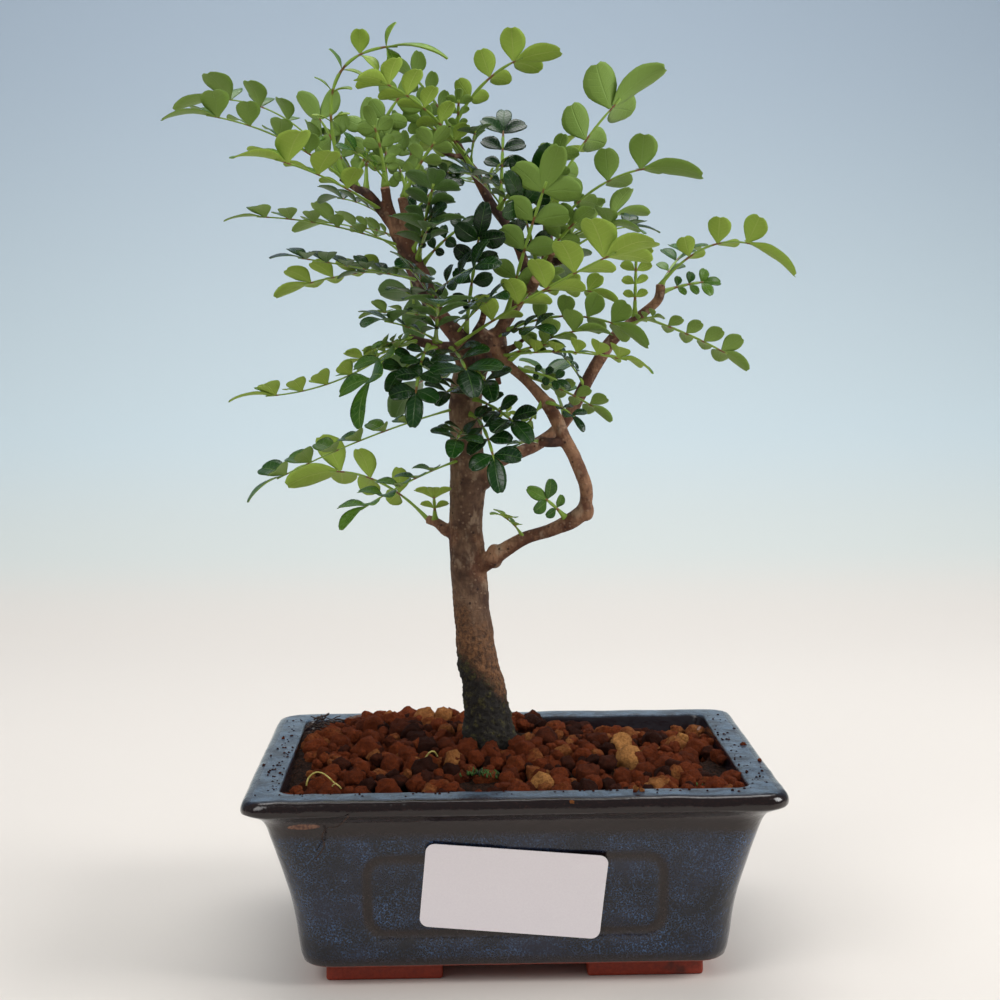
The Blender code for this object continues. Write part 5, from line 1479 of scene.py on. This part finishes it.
def leaflet(sheet, root, out, ahead, face, length, draw, wide=0.38, blunt=2.1):
    face = (face - out * face.dot(out)).normalized()
    across = face.cross(out)
    if across.dot(ahead) < 0:
        across = -across
    cup = draw.uniform(0.10, 0.26)
    droop = draw.uniform(0.8, 1.25)
    ripple = draw.uniform(0.0, 6.3)
    shade = draw.random()
    points, blade, upper = [], [], []
    for level in (1, 0):
        for row in range(BLADE_ROWS):
            s = 0.5 - 0.5 * math.cos(math.pi * row / (BLADE_ROWS - 1))
            half = blade_half(min(s, 0.995), wide, blunt) * length
            sag = (MIDRIB_DOWN * s * s - MIDRIB_RISE * s) * length * droop
            for cell in range(BLADE_CELLS + 1):
                u = 2 * cell / BLADE_CELLS - 1
                wave = WAVE_DEEP * half * math.sin(ripple + 9 * s + 2 * u) * abs(u)
                rise = cup * half * abs(u) ** 1.6 + wave
                notch = NOTCH_DEEP * length * (1 - abs(u)) * max(0.0, s - NOTCH_FROM) / (1 - NOTCH_FROM)
                thick = BLADE_THICK * (0.5 if level else -0.5) * (1 - 0.6 * abs(u) ** 4)
                middle = root + out * (s * length - notch) - face * (sag - rise - thick)
                points.append(middle + across * (u * half))
                blade.append((u, s, shade))
                upper.append(level)
    faces = []
    wide_row = BLADE_CELLS + 1
    below = BLADE_ROWS * wide_row
    for row in range(BLADE_ROWS - 1):
        for cell in range(BLADE_CELLS):
            k = row * wide_row + cell
            faces.append((k, k + 1, k + wide_row + 1, k + wide_row))
            faces.append((below + k, below + k + wide_row, below + k + wide_row + 1, below + k + 1))
        for k in (row * wide_row, row * wide_row + BLADE_CELLS):
            side = (k, k + wide_row, below + k + wide_row, below + k)
            faces.append(side if k == row * wide_row else side[::-1])
    for start, flip in ((0, False), ((BLADE_ROWS - 1) * wide_row, True)):
        for cell in range(BLADE_CELLS):
            k = start + cell
            side = (k, below + k, below + k + 1, k + 1)
            faces.append(side[::-1] if flip else side)
    if out.cross(across).dot(face) < 0:
        faces = [one[::-1] for one in faces]
    sheet.add(points, faces, blade=blade, upper=upper, stalk=[0.0] * len(points))


def winged_stalk(sheet, path, start, end, nodes, spacing):
    """The flat green stalk, with narrow wings between the pairs and a pinch at each of them."""
    count = max(8, round((end - start) * path.length / (1.5 * MM)))
    sides = 8
    points, marks = [], []
    for k in range(count + 1):
        t = start + (end - start) * k / count
        ahead, side, face = path.directions(max(t, 0.0))
        middle = path.place(max(t, 0.0)) + (ahead * (t * path.length) if t < 0 else Vector())
        near = min((abs(t - node) for node in nodes), default=1.0) / spacing
        taper = 1 - 0.35 * max(t, 0) + (0.5 * max(0.0, 0.08 - t) / 0.08)
        half = (0.36 + 0.26 * min(1.0, near * 3.2)) * MM * taper
        for n in range(sides):
            angle = 2 * math.pi * n / sides
            flat = 0.30 * MM * taper
            points.append(middle + side * (half * math.cos(angle)) + face * (flat * math.sin(angle)))
            marks.append(1.0 if near > 0.12 else 2.0)
    blade = [(0.0, 0.5, 0.5)] * len(points)
    sheet.add(points, closed_rings(count + 1, sides), blade=blade, upper=[1] * len(points), stalk=marks)


# %% [markdown]
# The leaf itself puts these together. The pairs are spaced evenly, smaller towards both ends, and each
# leaflet turns and tilts a little differently. The numbers drawn for that come from a seed of each
# leaf's own, so the same tree grows on every run.

# %% Build a compound leaf
STALK_BARE, STALK_INTO_BARK = 0.16, 2.2 * MM
LEAF_FILL = 1.05
FIRST_PAIR, LAST_PAIR = 0.78, 1.12
PAIR_ANGLE, PAIR_ANGLE_VARIES, FOLD_VARIES = 64.0, 5.0, 8.0
PAIR_START, END_AFTER = 0.25, 0.10
END_LEAF = 1.5
END_WIDE, END_BLUNT = 0.24, 2.3
LEAF_SEED, SHAPE_SEED = 5, 700


def leaflet_face(ahead, out, face, level):
    """The way a leaflet's upper face looks: square to the stalk, or nearer to straight up."""
    hinged = ahead.cross(out).normalized()
    if hinged.dot(face) < 0:
        hinged = -hinged
    return hinged.lerp(UP, level)


def compound_leaf(sheet, number, row, seat):
    _, _, _, tip, arch, pairs, fold, turn, level, _ = row
    draw = random.Random(LEAF_SEED + number)
    shape_draw = random.Random(SHAPE_SEED + number)
    path = LeafPath(seat, tip, arch, turn)
    spacing = (1 - STALK_BARE) / (pairs - 1 + PAIR_START + END_AFTER + END_LEAF * LEAF_FILL)
    size = spacing * path.length * LEAF_FILL
    nodes = [STALK_BARE + spacing * (pair + PAIR_START) for pair in range(pairs)]
    for pair, t in enumerate(nodes):
        ahead, side, face = path.directions(t)
        grown = size * (FIRST_PAIR + (LAST_PAIR - FIRST_PAIR) * pair / (pairs - 1))
        for sign in (-1, 1):
            angle = math.radians(PAIR_ANGLE + draw.uniform(-PAIR_ANGLE_VARIES, PAIR_ANGLE_VARIES))
            lift = math.radians(fold + draw.uniform(-FOLD_VARIES, FOLD_VARIES))
            out = ahead * math.cos(angle) + side * (sign * math.sin(angle))
            out = (out * math.cos(lift) + face * math.sin(lift)).normalized()
            upper = leaflet_face(ahead, out, face, level)
            root = path.place(t) + side * (sign * 0.35 * MM)
            leaflet(sheet, root, out, ahead, upper, grown * draw.uniform(0.92, 1.04), shape_draw)
    end = 1 - END_LEAF * spacing * LEAF_FILL
    onward = path.tip - path.place(end)
    out = onward.normalized()
    _, side, face = path.directions(end)
    upper = leaflet_face(side, out, face, level)
    leaflet(sheet, path.place(end), out, side, upper, onward.length, shape_draw, END_WIDE, END_BLUNT)
    winged_stalk(sheet, path, -STALK_INTO_BARK / path.length, end + 0.25 * spacing, nodes, spacing)


print("a leaf's seeds start at", LEAF_SEED, "and", SHAPE_SEED)

# %% [markdown]
# A leaf's finish is mixed from what its points carry: where they lie across and along the blade, how
# light this leaflet is, whether they are on the upper face, and whether they belong to the stalk. The
# youngest leaves are light and soft, and the oldest nearly black green and glossy. In the heart of
# the crown the darker tones are also painted shade.

# %% The finish of a leaf
def leaf_finish(name, top, top_light, under, vein, gloss, sheen):
    """A leaf's finish: darker glossy upper face with pale veins, paler and duller below."""
    leaf = Finish(name, roughness=gloss, IOR=sheen)
    u, s, shade = leaf.parts("blade")
    across = leaf.calc("ABSOLUTE", u)
    cloud = leaf.blotches(4 * MM, detail=3)
    light = leaf.plus(leaf.times(cloud, 0.5), leaf.times(shade, 0.6))
    face = leaf.mix(leaf.between(light, 0.25, 0.85), top, top_light)
    slanted = leaf.less(s, leaf.times(across, 0.16))
    ribs = leaf.calc("FRACT", leaf.times(slanted, 7.0))
    rib_line = leaf.between(leaf.calc("ABSOLUTE", leaf.less(ribs, 0.5)), 0.10, 0.02)
    midrib = leaf.between(across, 0.07, 0.02)
    veins = leaf.larger(leaf.times(rib_line, 0.35), midrib)
    face = leaf.mix(leaf.times(veins, 0.45), face, vein)
    rim = leaf.between(across, 0.88, 1.0)
    face = leaf.mix(leaf.times(rim, 0.5), face, paint(28, 42, 12))
    below = leaf.mix(leaf.times(veins, 0.5), under, vein)
    colour = leaf.mix(leaf.marked("upper"), below, face)
    stalk = leaf.marked("stalk")
    stalk_colour = leaf.mix(leaf.between(stalk, 1.2, 1.9), paint(128, 156, 62), paint(120, 84, 50))
    colour = leaf.mix(leaf.between(stalk, 0.3, 0.7), colour, stalk_colour)
    leaf.set("Base Color", colour)
    dull = leaf.times(leaf.less(1.0, leaf.marked("upper")), 0.3)
    leaf.set("Roughness", leaf.plus(leaf.plus(dull, gloss), leaf.times(cloud, 0.08)))
    leaf.bump((veins, 0.10 * MM), (leaf.blotches(0.45 * MM), 0.07 * MM))
    return leaf


LEAF_FINISHES = {
    YOUNG: leaf_finish("young leaf", paint(68, 108, 14), paint(140, 166, 48), paint(144, 170, 68),
                       paint(170, 190, 96), 0.32, 1.30),
    FULL: leaf_finish("full leaf", paint(34, 74, 12), paint(80, 116, 26), paint(118, 146, 64),
                      paint(128, 156, 76), 0.24, 1.36),
    DEEP: leaf_finish("deep leaf", paint(10, 38, 12), paint(26, 60, 18), paint(74, 104, 46),
                      paint(84, 116, 60), 0.11, 1.42),
}
print("leaf finishes:", ", ".join(LEAF_FINISHES))

# %% [markdown]
# Each name in the table becomes one piece, which stands for the solid of that name.

# %% Grow all the leaves
def grow_leaves():
    sprays = {}
    for number, row in enumerate(LEAVES):
        tip = Vector(row[3]) + Vector((POT_OFFSET, 0, 0))
        sprays.setdefault(row[0], []).append((number, row[:3] + (tip,) + row[4:]))
    for name, rows in sprays.items():
        row = rows[0][1]
        seat, heading = leaf_seat(row[1], row[2], row[3], row[4])
        if len(rows) > 1:
            seat += heading * BUD_RADIUS
        sheet = Sheet("blade", "upper", "stalk")
        for number, each in rows:
            compound_leaf(sheet, number, each, seat)
        tone = row[9]
        sheet.piece(name, LEAF_FINISHES[tone], "leaf_" + tone, [name])
    return len(sprays)


print("leaf pieces:", grow_leaves())

# %% [markdown]
# The heart of the crown is a thicket of smaller leaves that grow forward, back and across each other.
# The solids leave them out, because they would fill the crown with touching faces. They're laid the
# same way, from a second table, and are gathered into one piece for each tone.

# %% The leaves in the heart of the crown
# Branch, how far along it, tip, arch, pairs of leaflets, fold, turn, level, tone
# Many of these leaves are given the full or deep tone for darkness: it paints the shade inside the crown
HEART_LEAVES = [
    ("left_twig", 0.70, (-0.054, 0.020, 0.244), 0.05, 3, 20, -0.5, 0.0, FULL),
    ("left_twig", 0.80, (-0.061, 0.024, 0.255), 0.05, 3, 20, -0.6, 0.0, FULL),
    ("left_cut", 0.85, (-0.034, 0.002, 0.246), 0.05, 3, 20, -0.6, 0.0, FULL),
    ("middle_cut", 0.90, (-0.026, 0.012, 0.241), 0.05, 3, 18, -0.6, 0.0, FULL),
    ("left_leader", 0.80, (-0.018, -0.022, 0.218), 0.05, 3, 16, 0.7, 0.0, DEEP),
    ("left_leader", 0.70, (-0.008, -0.004, 0.216), 0.05, 3, 16, 0.6, 0.0, DEEP),
    ("left_leader", 0.50, (-0.003, -0.026, 0.202), 0.05, 3, 16, 0.6, 0.0, DEEP),
    ("left_leader", 0.40, (-0.030, -0.030, 0.202), 0.05, 3, 18, 0.6, 0.0, DEEP),
    ("left_leader", 0.20, (-0.001, -0.028, 0.193), 0.05, 3, 16, 0.5, 0.2, DEEP),
    ("left_stub", 0.95, (-0.038, -0.018, 0.177), 0.05, 3, 20, -0.5, 0.0, FULL),
    ("left_stub", 0.60, (-0.034, -0.026, 0.167), 0.05, 3, 18, 0.5, 0.0, DEEP),
    ("left_stub", 0.40, (-0.010, -0.040, 0.166), 0.05, 3, 16, 0.6, 0.0, DEEP),
    ("trunk", 0.90, (-0.005, -0.032, 0.165), 0.05, 3, 16, 0.7, 0.0, DEEP),
    ("trunk", 0.86, (-0.020, -0.024, 0.163), 0.05, 3, 18, 0.6, 0.0, DEEP),
    ("trunk", 0.84, (0.006, -0.024, 0.152), 0.05, 3, 16, 0.7, 0.0, DEEP),
    ("trunk", 0.76, (-0.016, -0.030, 0.149), 0.05, 3, 16, 0.8, 0.0, DEEP),
    ("right_leader", 0.30, (0.017, -0.004, 0.201), 0.05, 3, 20, -0.6, 0.0, FULL),
    ("right_leader", 0.55, (0.025, -0.014, 0.218), 0.05, 3, 20, -0.7, 0.0, FULL),
    ("right_leader", 0.60, (0.001, -0.016, 0.227), 0.05, 3, 16, 0.7, 0.0, DEEP),
    ("right_leader", 0.10, (0.013, -0.020, 0.183), 0.05, 3, 16, 0.5, 0.2, DEEP),
    ("right_leader", 0.95, (0.017, -0.006, 0.240), 0.05, 3, 20, -0.7, 0.0, FULL),
    ("top_branch", 0.45, (0.007, -0.008, 0.228), 0.05, 3, 18, -0.6, 0.0, FULL),
    ("top_branch", 0.60, (0.002, 0.026, 0.234), 0.05, 3, 20, -0.5, 0.0, YOUNG),
    ("top_branch", 0.70, (-0.025, 0.020, 0.229), 0.05, 3, 20, -0.5, 0.0, DEEP),
    ("top_branch", 0.90, (-0.013, 0.002, 0.254), 0.05, 3, 20, -0.7, 0.0, FULL),
    ("back_branch", 0.55, (0.015, 0.010, 0.177), 0.05, 3, 18, 0.5, 0.0, DEEP),
    ("back_branch", 0.80, (0.049, 0.016, 0.187), 0.05, 3, 20, -0.5, 0.0, FULL),
    ("bent_branch", 0.95, (0.017, -0.012, 0.179), 0.05, 3, 20, -0.5, 0.0, FULL),
    ("bent_branch", 0.90, (0.019, -0.002, 0.166), 0.05, 3, 18, 0.6, 0.0, DEEP),
    ("bent_branch", 0.76, (0.005, -0.006, 0.153), 0.05, 2, 20, -0.5, 0.0, FULL),
    ("bent_branch", 0.93, (0.030, -0.018, 0.183), 0.08, 3, 22, -0.4, 0.0, FULL),
    ("right_leader", 0.40, (0.034, 0.006, 0.192), 0.08, 3, 22, -0.4, 0.0, YOUNG),
    ("right_leader", 0.66, (0.030, 0.012, 0.222), 0.08, 3, 22, -0.5, 0.0, FULL),
    ("top_branch", 0.30, (0.020, 0.014, 0.226), 0.06, 3, 20, -0.5, 0.0, YOUNG),
    ("left_leader", 0.90, (-0.046, 0.018, 0.214), 0.06, 3, 22, -0.4, 0.0, FULL),
    ("left_stub", 0.80, (-0.044, -0.010, 0.172), 0.06, 3, 22, -0.4, 0.0, FULL),
    ("trunk", 0.78, (0.004, 0.010, 0.158), 0.05, 3, 20, -0.5, 0.0, YOUNG),
    ("top_branch", 0.80, (-0.030, 0.004, 0.247), 0.06, 3, 20, -0.7, 0.0, FULL),
    ("top_branch", 0.75, (-0.008, -0.010, 0.242), 0.06, 3, 18, 0.6, 0.0, DEEP),
    ("left_twig", 0.60, (-0.040, 0.014, 0.252), 0.06, 3, 20, -0.6, 0.0, FULL),
    ("left_leader", 0.95, (-0.012, 0.018, 0.232), 0.06, 3, 18, 0.5, 0.0, DEEP),
    ("left_leader", 0.60, (-0.050, 0.010, 0.200), 0.06, 3, 22, -0.2, 0.2, DEEP),
    ("left_leader", 0.30, (-0.044, 0.014, 0.188), 0.06, 3, 22, -0.2, 0.2, FULL),
]
# The heart's leaves are numbered from here, so that their seeds are their own
HEART_START = 200


def grow_heart():
    sheets = {tone: Sheet("blade", "upper", "stalk") for tone in LEAF_FINISHES}
    for number, (branch, share, tip, *rest) in enumerate(HEART_LEAVES):
        tip = Vector(tip) + Vector((POT_OFFSET, 0, 0))
        seat, _ = leaf_seat(branch, share, tip, rest[0])
        compound_leaf(sheets[rest[-1]], HEART_START + number, ("", branch, share, tip, *rest), seat)
    for tone, sheet in sheets.items():
        sheet.piece("heart_leaves_" + tone, LEAF_FINISHES[tone], "leaf_" + tone)


grow_heart()
print("leaves in the heart:", len(HEART_LEAVES))
